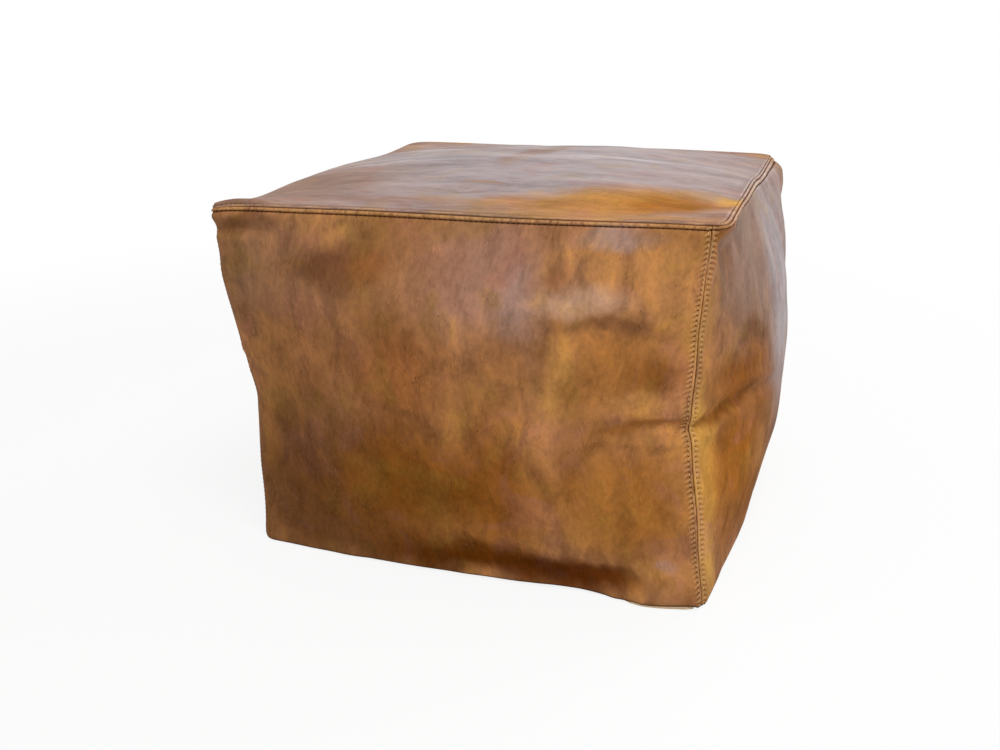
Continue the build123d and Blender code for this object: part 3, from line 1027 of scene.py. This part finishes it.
def leather(name, patches, drawn, sewn):
    """Waxed goat hide: dyed in smears, pale on its seam ridges, scuffed, pored and grained.

    drawn is how far its marks are drawn out each way; sewn names the maps of its seams, with
    the strength of the join, groove, ridge and ripple of each. The gloss is in the wax, which is
    the shader's coat; some patches also paint sheen, highlights and shade into the colour, the
    seam ridges are pale partly from rub wear and partly as a painted highlight, the seams paint
    shade into their grooves and needle holes and light and shade on their ripples, and the
    sides paint shade along their foot.
    """
    f = Finish(name, coat_roughness=0.34, specular_ior_level=0.0)
    place = f.object_place()
    flat = f.own_map("hide")
    smeared = f.vectors("MULTIPLY", flat, drawn)

    # dye, with patches of colour, some of which are painted sheen, highlights or shade
    broad = f.noise(place, DYE, 2.0, 0.5, 0.2)
    smear = f.noise(smeared, SMEAR, 4.0, 0.62, 0.5)
    fine = f.noise(smeared, FINE, 4.0, 0.7)
    colour = f.ramp(broad * 0.65 + smear * 0.35, ((0.38, BROWN), (0.5, CARAMEL), (0.62, TAN)))
    ragged = f.wobbled(f.wobbled(flat, 0.06, 0.045), 0.011, 0.006)
    shine = broad * 2 * DULL
    for x, y, wide, high, tilt, shade, strength in patches:
        away = f.vectors("LENGTH", f.patch_map(
            ragged, (x * MM, y * MM, 0), math.radians(tilt), (wide * MM, high * MM, 1)))
        inside = f.smooth(away, 1.35, 0.25) * strength
        colour = f.mix(inside, colour, shade)
        shine = shine + (SHINE.get(shade, DULL) - shine) * inside
    mottle = f.ramp(smear * 0.6 + fine * 0.4, tuple(zip((0.36, 0.5, 0.64), MOTTLE)))
    colour = f.mix(0.48, colour, mottle, "OVERLAY")
    tint = f.noise(place, TINT, 3.0, 0.55, 0.8)
    colour = f.mix(f.smooth(tint, 0.52, 0.68) * 0.36, colour, ROSE, "COLOR")
    colour = f.mix(f.smooth(tint, 0.48, 0.32) * 0.32, colour, OLIVE, "COLOR")

    # scuffs along the smears, slanting wrinkles, specks and pores
    brushed = f.noise(f.vectors("MULTIPLY", smeared, DOWN), SCUFF, 3.0, 0.6, 1.0)
    brushing = f.smooth(f.noise(place, SCUFFED_SPOT, 2.0), 0.46, 0.66)
    scuff = f.smooth(brushed, 0.56, 0.72) * brushing
    colour = f.mix(scuff * 0.3, colour, SCUFFED)
    slanting = f.patch_map(f.wobbled(flat, 0.03, 0.012), (0, 0, 0), WRINKLE_SLANT, (1, 4, 1))
    wrinkled = f.smooth(f.noise(place, WRINKLED_SPOT, 2.0), 0.49, 0.6)
    wrinkles = f.smooth(f.noise(slanting, WRINKLE, 2.0, 0.5, 0.4), 0.5, 0.66) * wrinkled
    colour = f.mix(wrinkles * 0.3, colour, WRINKLED, "OVERLAY")
    specks = f.smooth(f.noise(place, SPECK, 2.0, 0.5), 0.72, 0.78)
    colour = f.mix(specks * 0.6, colour, DARK)
    pores = f.smooth(f.cells(flat, PORE), 0.3, 0.08)
    colour = f.mix(pores * 0.16, colour, DARK)

    # gloss: waxed, duller where it is scuffed
    f.feed("Roughness", 0.4 + fine * 0.16 + scuff * 0.1)
    shine = shine * (0.4 + smear * 0.7 + fine * 0.5)

    # grain and wrinkles of the hide, and the drawn-up ripples beside the seams
    grain = f.cells(place, GRAIN) * 0.5 + f.cells(place, FINE_GRAIN) * 0.3
    height = grain * 0.35 + wrinkles * 2.2 - scuff * 0.3 + fine * 0.6
    for map_name, join, groove, ridge, ripple in sewn:
        seam = Seam(f, map_name, fine)
        shine = shine * (1 - seam.line(STITCH_INSET, 1.4 * MM)) * (1 - seam.line(0.0, 1.0 * MM))
        colour = seam.painted(colour, join, groove, ridge, ripple)
        # painted shade in the needle holes
        colour = f.mix(seam.holes() * 0.9, colour, SEAM_DARK)
        height = height + seam.ripple() * ripple - seam.holes() * 2.0
    # painted shade along the foot of a side, where it rolls under to the base
    if len(sewn) > 1:
        foot = f.smooth(f.split(flat)[1], 2.4 * MM, 0.8 * MM)
        colour = f.mix(foot * 0.75, colour, SEAM_DARK)
    f.feed("Base Color", colour)
    f.feed("Coat Weight", shine)
    f.feed("Normal", f.bump(height, RELIEF, 0.8))
    return f.material


def simple(name, colour, dull, size, depth=0.3 * MM, **fixed):
    """A plain stuff with uneven colour and a fine rough face."""
    f = Finish(name, **fixed)
    place = f.object_place()
    uneven = f.noise(place, size, 4.0, 0.6)
    fine = f.noise(place, size / 8, 3.0, 0.6)
    shade = f.ramp(uneven * 0.6 + fine * 0.4, (
        (0.3, tuple(0.72 * c for c in colour[:3]) + (1,)), (0.5, colour),
        (0.72, tuple(min(1, 1.18 * c) for c in colour[:3]) + (1,))))
    f.feed("Base Color", shade)
    f.feed("Roughness", dull - 0.1 + fine * 0.2)
    f.feed("Normal", f.bump(fine + uneven * 0.4, depth, 0.6))
    return f.material


SIDE_SEAMS = (("corners", 0.95, 0.4, 0.5, 0.5), ("rim", 0.4, 0.75, 0.6, 0.0))
TOP_SEAMS = (("rim", 0.3, 0.3, 0.6, 0.0),)
hides = {side: leather(f"hide_{side}", PATCHES[side], DOWN, SIDE_SEAMS) for side in SIDE_NAMES}
hides["top"] = leather("hide_top", PATCHES["top"], ALONG, TOP_SEAMS)
pale = simple("pale_base_hide", rgb(214, 188, 150), 0.7, 0.02)
waxed = simple("waxed_thread", rgb(206, 162, 108), 0.6, 0.004)
dark_waxed = simple("dark_waxed_thread", rgb(96, 58, 30), 0.6, 0.004)
cotton = simple("unbleached_cotton", rgb(222, 212, 188), 0.9, 0.01)
woven = simple("woven_zip_tape", rgb(74, 52, 36), 0.85, 0.003)
brass = simple("aged_brass", rgb(186, 150, 86), 0.4, 0.004, 0.05 * MM, metallic=1.0)
padding = simple("cotton_waste", rgb(200, 194, 180), 0.95, 0.008, 1.0 * MM)

# ---- side panels -----------------------------------------------------------------------
# From here the loose lumps have their full height, and the folds beside a corner seam and
# under the top seam.
LUMPS_FULL, FOLDS_FULL, FOLDS_FULL_DOWN = 14 * MM, 9 * MM, 8 * MM


def seam_share(distance, reach=5 * MM):
    """How strongly a seam at this distance turns the relief towards its own direction."""
    return ease(1 - distance / reach)


def side_way(side, u, v, normal):
    """Direction of the relief: the panel's normal, or a seam's own direction beside it."""
    left, right = seam_share(u * WIDTH), seam_share((1 - u) * WIDTH)
    top = seam_share((1 - v) * HEIGHT)
    if not (left or right or top):
        return normal
    z = SEAM_Z - over_rim((1 - v) * HEIGHT, False)[1]
    way = normal * (1 - max(left, right, top))
    for corner, share in ((side - 1, left), (side, right)):
        if share:
            way += share * outward(corner % 4 + 1, 0, z) * (1 - top)
    if top:
        way += top * (outward(side, u, z) + UP).normalized()
    return way.normalized()


def side_wear(side, u, z, point):
    """Folds and lumps of a side, without its seams."""
    edge, top = min(u, 1 - u) * WIDTH, SEAM_Z - z
    calm = ease(edge / LUMPS_FULL) * ease(top / LUMPS_FULL)
    folds = sum(fold.height(u, z / MM) for fold in FOLDS[SIDE_NAMES[side % 4]])
    folds *= ease(edge / FOLDS_FULL) * ease(top / FOLDS_FULL_DOWN)
    nicks = nick(side - 1, z, u * WIDTH) + nick(side, z, (1 - u) * WIDTH)
    loose = lumps(point, 3.1 * (side % 4)) + settled_side(side, u, z)
    return calm * loose + folds + nicks * ease(top / FOLDS_FULL_DOWN)


def side_height(side, u, v, point):
    z = BASE_Z + v * HEIGHT
    left, right, top, low = u * WIDTH, (1 - u) * WIDTH, (1 - v) * HEIGHT, v * HEIGHT
    edge = min(left, right)
    rise = section(CORNER_SEAM, edge) * ease(top / (5 * MM)) + section(RIM_SEAM, top)
    rise += section(BASE_SEAM, low)
    corner = side - 1 if left < right else side
    drawn_up = pucker(corner, z, edge, side + 5 * (left < right)) * min(1, top / (15 * MM))
    rise += drawn_up * (CALMER if left < right else 1)
    return rise + side_wear(side, u, z, point)


DROOP = 2.8 * MM         # how far the foot of a side hangs over the edge of the base
DROOP_REACH = 12 * MM
LOBE_LIFT = 1.2 * MM     # how far it clears the edge of the base at the lobe
LOBE = (0.84, 0.985)     # the stretch of the front where the base's edge shows instead
LOBE_FADES = (0.05, 0.02)


def lobe(side, across):
    """One where the base's edge shows, nought elsewhere."""
    if side % 4:
        return 0.0
    return (ease((across - LOBE[0]) / LOBE_FADES[0] + 0.5)
            * ease((LOBE[1] - across) / LOBE_FADES[1] + 0.5))


def hem_drop(side, across, low):
    """How the foot of a side comes down over the base, at a height above its edge."""
    bare = lobe(side, across)
    return UP * ((LOBE_LIFT * bare - DROOP * (1 - bare)) * ease(1 - low / DROOP_REACH))


def make_side(side):
    """One side of the cover, with the lines that its stitches follow."""
    across, along = stations(WIDTH, 4 * MM), stations(HEIGHT, 1.2 * MM)
    panel = Sheet(across, along, lambda u, v: hem_drop(side, u, v * HEIGHT) + wall_point(
        side, u, (1 - v) * HEIGHT))
    panel.push(functools.partial(side_height, side), functools.partial(side_way, side))
    last, top = len(across) - 1, len(along) - 1
    rows = {
        "left": panel.column(STITCH_STEP),
        "right": panel.column(last - STITCH_STEP),
        "top": panel.row(top - STITCH_STEP),
    }
    left, right, over = (lengths_along(rows[k]) for k in ("left", "right", "top"))
    panel.map_flat(WIDTH, HEIGHT)
    panel.map_seams("corners", (
        lambda i, j: (left[j], across[i] * WIDTH),
        lambda i, j: (right[j], (1 - across[i]) * WIDTH),
    ))
    panel.map_seams("rim", (lambda i, j: (over[i], (1 - along[j]) * HEIGHT),))
    return panel, rows


# ---- top panel -------------------------------------------------------------------------
TOP_WIDTH = 2 * HALF
TOP_LUMPS_FULL, TOP_FOLDS_FULL = 12 * MM, 7 * MM   # as on the sides


@functools.cache
def rim_point(side, across):
    return wall_point(side, across, 0.0, True)


@functools.cache
def past_rim(share):
    """Level place of a share across the top, drawn in where the hide turns over the rim."""
    edge = min(share, 1 - share) * TOP_WIDTH
    level = (over_rim(edge, True)[0] - over_rim(0, True)[0]) / TOP_WIDTH
    return level if share < 0.5 else 1 - level


def top_point(u, v):
    """Patch inside the top seam, rounded over the rim, with the crown."""
    edge = min(u, 1 - u, v, 1 - v) * TOP_WIDTH
    rise = over_rim(0, True)[1] - over_rim(edge, True)[1]
    u, v = past_rim(u), past_rim(v)
    front, right = rim_point(0, u), rim_point(1, v)
    back, left = rim_point(2, 1 - u), rim_point(3, 1 - v)
    near = rim_point(0, 0).lerp(rim_point(0, 1), u)
    far = rim_point(2, 1).lerp(rim_point(2, 0), u)
    point = front.lerp(back, v) + left.lerp(right, u) - near.lerp(far, v)
    point.z += rise + CROWN * (4 * u * (1 - u)) * (4 * v * (1 - v))
    return point


TOP_FOLDS = (
    Fold(6, (0.012, 7, 2.0), (0.05, 9, 3.4), (0.11, 12, 1.4), lip=0.1),
    Fold(26, (0.75, 20, -1.5), (0.9, 60, -2.5), (0.97, 120, -1.5)),
    Fold(14, (0.1, 120, -0.8), (0.35, 160, -1.6), (0.6, 185, -1.2), (0.8, 190, -0.4)),
    Fold(12, (0.15, 230, 0.5), (0.4, 262, 1.4), (0.7, 290, 0.9), (0.9, 300, 0.3)),
    Fold(14, (0.05, 330, -0.5), (0.3, 350, -1.4), (0.55, 380, -0.8)),
    Fold(10, (0.2, 60, 0.3), (0.45, 80, 1.0), (0.65, 110, 0.4)),
)


def top_height(u, v, point):
    edge = min(u, 1 - u, v, 1 - v) * TOP_WIDTH
    calm = min(1.0, edge / TOP_LUMPS_FULL) ** 2
    rise = section(TOP_SEAM, edge) + calm * (0.8 * lumps(point, 17.0) + settled_top(u, v))
    folds = sum(fold.height(u, v * TOP_WIDTH / MM) for fold in TOP_FOLDS)
    return rise + ease(edge / TOP_FOLDS_FULL) * folds


def top_way(u, v, normal):
    away = (v, 1 - u, 1 - v, u)
    side = away.index(min(away))
    share = seam_share(away[side] * TOP_WIDTH, 3 * MM)
    if not share:
        return normal
    out = outward(side, (u, v, 1 - u, 1 - v)[side], SEAM_Z, True)
    return (normal * (1 - share) + share * (out + UP).normalized()).normalized()


def make_top():
    across = stations(TOP_WIDTH, 3.4 * MM)
    panel = Sheet(across, across, top_point)
    panel.push(top_height, top_way)
    last = len(across) - 1
    near, far = STITCH_STEP, last - STITCH_STEP
    inner = slice(near, far + 1)
    rows = [panel.row(near)[inner], panel.column(far)[inner],
            panel.row(far)[inner][::-1], panel.column(near)[inner][::-1]]
    front, right, back, left = (lengths_along(row) for row in rows)

    def along(runs, k):
        return runs[min(max(k - near, 0), len(runs) - 1)]

    panel.map_flat(TOP_WIDTH, TOP_WIDTH)
    panel.map_seams("rim", (
        lambda i, j: (along(front, i), across[j] * TOP_WIDTH),
        lambda i, j: (along(right, j), (1 - across[i]) * TOP_WIDTH),
        lambda i, j: (along(back, last - i), (1 - across[j]) * TOP_WIDTH),
        lambda i, j: (along(left, last - j), across[i] * TOP_WIDTH),
    ))
    return panel, rows


# ---- stitches --------------------------------------------------------------------------
THREAD_WIDE = THREAD_RADIUS * 1.15   # it is pressed a little flat
STITCH_SLANT = 0.06      # by how much each lies askew, in turn


def place_along(line, runs, distance):
    """Point and normal at a running length along a line."""
    k = min(max(bisect.bisect_right(runs, distance) - 1, 0), len(runs) - 2)
    t = (distance - runs[k]) / (runs[k + 1] - runs[k])
    (a, n), (b, m) = line[k], line[k + 1]
    return a.lerp(b, t), n.lerp(m, t).normalized()


def one_stitch():
    """A stitch of unit size that lies along X: a fat thread, thin at both ends."""
    bm = bmesh.new()
    bmesh.ops.create_uvsphere(bm, u_segments=6, v_segments=5, radius=1,
                              matrix=Matrix.Rotation(math.pi / 2, 4, "Y"))
    shade_smooth(bm)
    mesh = new_mesh("stitch", bm)
    bm.free()
    return mesh


def add_stitches(bm, line, lift):
    """A row of stitches, each sunk at both ends, along a line on the hide."""
    runs = lengths_along(line)
    stitch = one_stitch()
    for k in range(int(runs[-1] / STITCH_PITCH)):
        low = k * STITCH_PITCH + STITCH_GAP / 2
        a, n = place_along(line, runs, low)
        b, m = place_along(line, runs, low + STITCH_PITCH - STITCH_GAP)
        along = (b - a).normalized()
        up = (n + m).normalized()
        side = up.cross(along).normalized()
        slant = STITCH_SLANT * math.sin(1.7 * k)
        turn = Matrix((along + slant * side, side, up)).transposed().to_4x4()
        size = Matrix.Diagonal(((b - a).length / 2, THREAD_WIDE, THREAD_RADIUS, 1))
        place = Matrix.Translation((a + b) / 2 + up * THREAD_RADIUS * lift) @ turn @ size
        stitch.transform(place)
        bm.from_mesh(stitch)
        stitch.transform(place.inverted())
    bpy.data.meshes.remove(stitch)


def make_stitches(name, node, rows, lift=0.6, thread=waxed):
    bm = bmesh.new()
    for row in rows:
        add_stitches(bm, row, lift)
    return finish_piece(name, bm, [node], thread)


# ---- cover -----------------------------------------------------------------------------
rows = {}
for side, side_name in enumerate(SIDE_NAMES):
    panel, rows[side_name] = make_side(side)
    piece = finish_piece(f"{side_name}_hide", panel.bm, [f"{side_name}_panel"],
                         hides[side_name], LEATHER)
panel, over_rows = make_top()
piece = finish_piece("top_hide", panel.bm, ["top_panel"], hides["top"],
                     LEATHER)

for corner, corner_name in enumerate(CORNER_NAMES):
    make_stitches(f"stitches_{corner_name}", f"thread_corner_{corner_name}",
                  [rows[SIDE_NAMES[corner]]["right"],
                   rows[SIDE_NAMES[(corner + 1) % 4]]["left"]])
make_stitches("stitches_top_outer", "thread_top_outer",
              [rows[side_name]["top"] for side_name in SIDE_NAMES], -0.5, dark_waxed)
make_stitches("stitches_top_inner", "thread_top_inner", over_rows, -0.5, dark_waxed)

# ---- base ------------------------------------------------------------------------------
HALVES = (("front", -1), ("rear", 1))
SLOT_HALF = 5.0 * MM     # half the width of the zip's slot
SLOT_SHUT = 0.2 * MM     # and past its ends
SLOT_END = 185 * MM
SLOT_TURN = 3.0 * MM     # length over which the slot closes at its ends
HEM = 12.0 * MM
HEM_MIDDLE = 7.0 * MM    # a line half way over its folded side
HEM_PAST = 18.0 * MM     # from the slot to the first line past the hem
EDGE_ROLL = BASE_Z       # radius of the turned-up edge
ROLL_STEPS = 4
ROLL_STEP = 0.01         # share of the base's reach that stands for one of its steps
BASE_SHY = 4.0 * MM      # how far the base stands in from the sides above it
LOBE_SHY = 0.3 * MM      # and where its edge shows
STITCH_SINK = 0.7 * MM


@functools.cache
def base_edge(side, across):
    """Border of the base, and how far it lies from the side above it there."""
    point = ring_point(side, across, BASE_Z, True)
    out = outward(side, across, BASE_Z, True)
    shy = BASE_SHY + (LOBE_SHY - BASE_SHY) * lobe(side, across)
    wear = side_wear(side, across, BASE_Z, point)
    return Vector((point.x, point.y, 0)) + out * (wear - EDGE_ROLL - shy), out


def slot_edge(x):
    """Distance from the middle of the base to a half's inner edge."""
    return SLOT_HALF + (SLOT_SHUT - SLOT_HALF) * ease((abs(x) - SLOT_END) / SLOT_TURN)


def hem_profile():
    """The inner edge, folded up and back: distance from it and height, from inside out."""
    roll = HEM_TOP / 2
    fold = [(roll - roll * math.sin(a), roll + roll * math.cos(a))
            for a in (math.pi * k / 8 for k in range(9))]
    row = ZIP_ROW - SLOT_HALF
    flat = [(0.7 * row, 0), (row, STITCH_SINK), (1.3 * row, 0), (HEM, 0), (HEM_PAST, 0)]
    return [(HEM, HEM_TOP), (HEM_MIDDLE, HEM_TOP)] + fold + flat


def make_base_half(sign):
    """One half of the base: sign -1 in front, +1 behind."""
    roll = [1 + ROLL_STEP * k for k in range(ROLL_STEPS, 0, -1)]
    spread = [-s for s in roll] + [k / 36 for k in range(-36, 37)] + roll[::-1]
    ends = [s * (SLOT_END + t * SLOT_TURN) / (HALF + 2 * MM)
            for s in (-1, 1) for t in (-0.2, 0.2, 0.5, 0.8, 1.2)]
    columns = sorted(spread + ends)
    hem = hem_profile()
    outer = roll + [1 - 0.92 * k / 18 for k in range(18)]
    lines = [("out", s) for s in outer] + [("hem", k) for k in range(len(hem) - 1, -1, -1)]

    def place(x, row):
        kind, where = lines[round(row)]
        y = sign * (where if kind == "out" else 0.05)
        side, across, reach = cube_place(x, y)
        border, out = base_edge(side, across)
        level = min(max(reach - 1, 0) / (ROLL_STEP * ROLL_STEPS), 1) * math.pi / 2
        point = border * min(reach, 1) + out * EDGE_ROLL * math.sin(level)
        point.z = (EDGE_ROLL + LOBE_LIFT * lobe(side, across)) * (1 - math.cos(level))
        if kind == "hem":
            off, z = hem[where]
            point.y = sign * (slot_edge(point.x) + off)
            point.z = max(point.z, z)
        return point

    half = Sheet(columns, list(range(len(lines))), place, outwards=-UP)
    stitched = lines.index(("hem", hem.index((ZIP_ROW - SLOT_HALF, STITCH_SINK))))
    row = half.row(stitched)[ROLL_STEPS + 2:-ROLL_STEPS - 2]
    half.map_by("hide", lambda i, j: half.cells[i, j].co.xy + Vector((HALF, HALF)))
    return half, row


zip_rows = []
for name, sign in HALVES:
    half, row = make_base_half(sign)
    zip_rows.append(row)
    finish_piece(f"base_hide_{name}", half.bm, [f"base_panel_{name}"], pale,
                 BASE_LEATHER)
make_stitches("stitches_zip", "thread_zip", zip_rows, lift=-0.4)


FOOT_ROW = 6 * MM        # height of the hidden row that holds the base to the sides
FOOT_ROW_IN = LEATHER + 0.6 * MM
FOOT_ROW_STEPS = 60      # along each side


def foot_row():
    """Hidden row of stitches round the foot of the cover, on its inner face."""
    line = []
    for side, k in itertools.product(range(4), range(FOOT_ROW_STEPS)):
        across = k / FOOT_ROW_STEPS
        point = ring_point(side, across, FOOT_ROW)
        inwards = -Vector((point.x, point.y, 0)).normalized()
        depth = FOOT_ROW_IN - side_wear(side, across, FOOT_ROW, point)
        line.append((point + inwards * depth, inwards))
    return line + line[:1]


make_stitches("stitches_base", "thread_base_seam", [foot_row()])

# ---- zip -------------------------------------------------------------------------------
TAPE_CORD = 0.9 * MM     # radius of the corded edge that holds the teeth
TAPE_STEPS = 90
TAPE_LINES = (2.4, 4, 6, 8, 10, 12)   # lines past the cord, in millimetres from the edge


def make_tape(sign):
    """Woven half of the zip, with its corded edge."""
    profile = [(TAPE_NEAR + TAPE_CORD * (1 - math.cos(a)),
                HEM_TOP - TAPE_CORD * 0.6 * math.sin(a))
               for a in (math.pi * k / 6 for k in range(7))]
    profile += [(TAPE_NEAR + d * MM, HEM_TOP) for d in TAPE_LINES] + [(TAPE_FAR, HEM_TOP)]

    def place(x, row):
        y, z = profile[round(row)]
        return Vector((x, sign * y, z))

    tape = Sheet([TAPE_END * (2 * k / TAPE_STEPS - 1) for k in range(TAPE_STEPS + 1)],
                 list(range(len(profile))), place, outwards=-UP)
    tape.map_flat(1, 1 * MM, "weave")
    return tape


for name, sign in HALVES:
    tape = make_tape(sign)
    finish_piece(f"woven_tape_{name}", tape.bm, [f"zip_tape_{name}"], woven, TAPE)


SHARP = math.radians(35)   # an edge with more of a turn than this is rounded off


def softened(name, node, bevel, body="pouf"):
    """A piece of metal hardware with its sharp edges rounded off."""
    bm = bmesh.new()
    bm.from_mesh(bpy.data.objects[node].data)
    bmesh.ops.remove_doubles(bm, verts=bm.verts, dist=1e-6)
    bmesh.ops.dissolve_limit(bm, angle_limit=math.radians(2), verts=bm.verts, edges=bm.edges)
    sharp = [e for e in bm.edges if len(e.link_faces) == 2 and e.calc_face_angle() > SHARP]
    bmesh.ops.bevel(bm, geom=sharp, affect="EDGES", offset=bevel, segments=2, profile=0.5,
                    material=-1, clamp_overlap=True)
    shade_smooth(bm)
    return finish_piece(name, bm, [node], brass, body=body)


softened("teeth_front", "zip_teeth_front", 0.2 * MM)
softened("teeth_rear", "zip_teeth_rear", 0.2 * MM)
softened("top_stops", "zip_top_stops", 0.3 * MM)
softened("bottom_stop", "zip_bottom_stop", 0.3 * MM)
softened("slider", "zip_slider", 0.2 * MM, "slider")
softened("pull_tab", "zip_pull", 0.2 * MM, "pull")

# ---- backing tapes ---------------------------------------------------------------------
SEAM_TAPE_REACH = 10 * MM
ACROSS_TAPE = [SEAM_TAPE_REACH * k / 6 for k in range(-6, 7)]
SEAM_FOLD = 1.8 * MM     # how deep the turned-in edges of the hide keep a tape off a seam
SEAM_FOLD_WIDE = 3 * MM
TAPE_GAP = 0.4 * MM      # between a corner tape and the hide
CORNER_TAPE = (8 * MM, SEAM_Z - 13 * MM)   # its foot and its head
CORNER_TAPE_STEPS = 80


def around_corner(corner, d):
    """Side and share across it at a distance past a corner seam, negative to its left."""
    return (corner, 1 + d / WIDTH) if d < 0 else (corner + 1, d / WIDTH)


def make_corner_tape(corner):
    low, high = CORNER_TAPE
    heights = [low + (high - low) * k / CORNER_TAPE_STEPS for k in range(CORNER_TAPE_STEPS + 1)]
    tape = Sheet(ACROSS_TAPE, heights, lambda d, z: ring_point(*around_corner(corner, d), z))

    def depth(d, z, point):
        wear = side_wear(*around_corner(corner, d), z, point)
        return wear - LEATHER - SEAM_FOLD * bell(d, SEAM_FOLD_WIDE) - TAPE_GAP

    tape.push(depth, lambda d, z, normal: normal)
    return tape


for corner, corner_name in enumerate(CORNER_NAMES):
    tape = make_corner_tape(corner)
    tape.map_flat(1, 1, "weave")
    finish_piece(f"seam_tape_{corner_name}", tape.bm, [f"corner_tape_{corner_name}"],
                 cotton, SEAM_TAPE)


def make_rim_tape():
    """Tape folded under the top seam, right round."""
    around = [k / 50 for k in range(201)]

    def place(way, d):
        side, across = int(way) % 4, way - int(way)
        inwards, down = over_rim(abs(d), d > 0)
        z = SEAM_Z - (0 if d > 0 else down)
        out = outward(side, across, z, True)
        lean = min(max(math.pi / 4 + d / RIM_RADIUS, 0), math.pi / 2)
        point = ring_point(side, across, z, True) - out * inwards
        if d < 0:
            point += out * min(side_wear(side, across, z, point), 0)
        point -= (out * math.cos(lean) + UP * math.sin(lean)) * (LEATHER + SEAM_FOLD)
        return point - UP * (down if d > 0 else 0)

    tape = Sheet(around, ACROSS_TAPE, place)
    bmesh.ops.remove_doubles(tape.bm, verts=tape.bm.verts, dist=1e-5)
    return tape


tape = make_rim_tape()
finish_piece("seam_tape_top", tape.bm, ["top_seam_tape"], cotton, SEAM_TAPE)

# ---- bag and stuffing ------------------------------------------------------------------
FILLING_CELLS = 37       # squares along an edge of the bag and of the stuffing
BAG_INSET = LEATHER + 4.5 * MM   # from the face of the hide
BAG_GAP = 2 * MM         # between the bag and the stuffing
UNDER_DENTS, UNDER_RISES = 1.6, 0.5   # how far they follow the hide, in and out
WAD = 22 * MM            # size of the stuffing's lumps
WAD_RISE = 1.5 * MM


def filled_form(inset, low, rough=0.0):
    """Closed form under the hide: a cube swelled out to the walls, less an inset."""
    high = SEAM_Z - LEATHER - 2 * inset
    bm, places = swelled_cube(FILLING_CELLS, low, high)
    moves = {}
    for vert, (x, y, up) in places.items():
        side, across, reach = cube_place(x, y)
        z = low + (high - low) * (up + 1) / 2
        depth = inset
        if reach > ON_FACE:
            wear = side_wear(side, across, z, vert.co)
            depth -= wear * (UNDER_DENTS if wear < 0 else UNDER_RISES)
        if up > -ON_FACE:
            depth -= rough * noise.noise(vert.co / WAD)
            moves[vert] = -vert.normal * depth
        else:
            moves[vert] = -outward(side, across, z, True) * depth * reach
    for vert, move in moves.items():
        vert.co += move
    shade_smooth(bm)
    bm.normal_update()
    return bm, places


def make_bag(part):
    """One cloth of the cotton bag: the top, the base or the sides of the filled form."""
    bm, places = filled_form(BAG_INSET, BAG_FLOOR)

    def part_of(face):
        heights = [places[vert][2] for vert in face.verts]
        if min(heights) > ON_FACE:
            return "top"
        return "base" if max(heights) < -ON_FACE else "sides"

    away = [face for face in bm.faces if part_of(face) != part]
    bmesh.ops.delete(bm, geom=away, context="FACES")
    piece = finish_piece(f"bag_{part}", bm, [f"inner_bag_{part}"], cotton,
                         BAG_CLOTH)


make_bag("top")
make_bag("base")
make_bag("sides")

bm, _ = filled_form(BAG_INSET + BAG_GAP, BAG_FLOOR + BAG_GAP, WAD_RISE)
pad = finish_piece("stuffing_pad", bm, ["stuffing"], padding)

# ---- floor, light and camera -----------------------------------------------------------
def studio_floor():
    """White paint that is seen as pure white, but keeps the shadow."""
    f = Finish("floor_paint", base_color=(0.9, 0.9, 0.9, 1), roughness=0.9)
    far = f.vectors("LENGTH", f.object_place())
    lit = f.add("ShaderNodeEmission", {}, {"Color": WHITE, "Strength": 1.0})
    share = f.seen_directly() * (0.86 + f.smooth(far, 0.7, 1.7) * 0.14)
    painted = Socket(f, f.shader.outputs[0])
    f.show(f.add("ShaderNodeMixShader", {}, {0: share, 1: painted, 2: lit}))
    return f.material


bpy.ops.mesh.primitive_plane_add(size=12)
floor = bpy.context.object
floor.name = "floor"
floor.data.materials.append(studio_floor())


def set_world():
    """Soft light all round, and white wherever the room itself is seen."""
    world = bpy.data.worlds.new("studio")
    bpy.context.scene.world = world
    world.use_nodes = True
    w = Nodes(world.node_tree)
    soft = w.add("ShaderNodeBackground", {}, {"Color": (1.0, 0.98, 0.96, 1), "Strength": 0.40})
    white = w.add("ShaderNodeBackground", {}, {"Color": WHITE, "Strength": 1.0})
    w.show(w.add("ShaderNodeMixShader", {}, {0: w.seen_directly(), 1: soft, 2: white}))


LIT_AT = Vector((0, 0, 0.18))


def add_lamp(name, at, size, power, colour=(1, 1, 1)):
    """Square soft lamp that faces the pouf."""
    data = bpy.data.lights.new(name, "AREA")
    data.size, data.energy, data.color = size, power, colour
    at = Vector(at)
    aim = (LIT_AT - at).to_track_quat("-Z", "Y")
    lamp = new_object(name, data)
    lamp.matrix_world = Matrix.Translation(at) @ aim.to_matrix().to_4x4()


set_world()
add_lamp("key", (0.7, -1.1, 1.9), 1.0, 27)
add_lamp("back", (0.8, 1.6, 1.3), 1.4, 17, (0.95, 0.96, 1.0))

CAMERA_AT = Vector((0.3696, -1.1168, 0.5097))
YAW, PITCH, ROLL = math.radians(20.01), math.radians(18.2), math.radians(-1.47)
FOCAL_PX, PICTURE_WIDTH = 1161.4, 1000.0   # both in pixels
SENSOR = 36.0            # in millimetres


def set_camera():
    ahead = Vector((-math.sin(YAW) * math.cos(PITCH), math.cos(YAW) * math.cos(PITCH),
                    -math.sin(PITCH)))
    level = Vector((math.cos(YAW), math.sin(YAW), 0))
    upright = level.cross(ahead)
    right = math.cos(ROLL) * level + math.sin(ROLL) * upright
    up = math.cos(ROLL) * upright - math.sin(ROLL) * level
    data = bpy.data.cameras.new("camera")
    data.sensor_width = SENSOR
    data.lens = FOCAL_PX / PICTURE_WIDTH * SENSOR
    camera = new_object("camera", data)
    camera.matrix_world = Matrix.Translation(CAMERA_AT) @ Matrix(
        (right, up, -ahead)).transposed().to_4x4()
    bpy.context.scene.camera = camera


set_camera()
bpy.context.scene.view_settings.view_transform = "Standard"
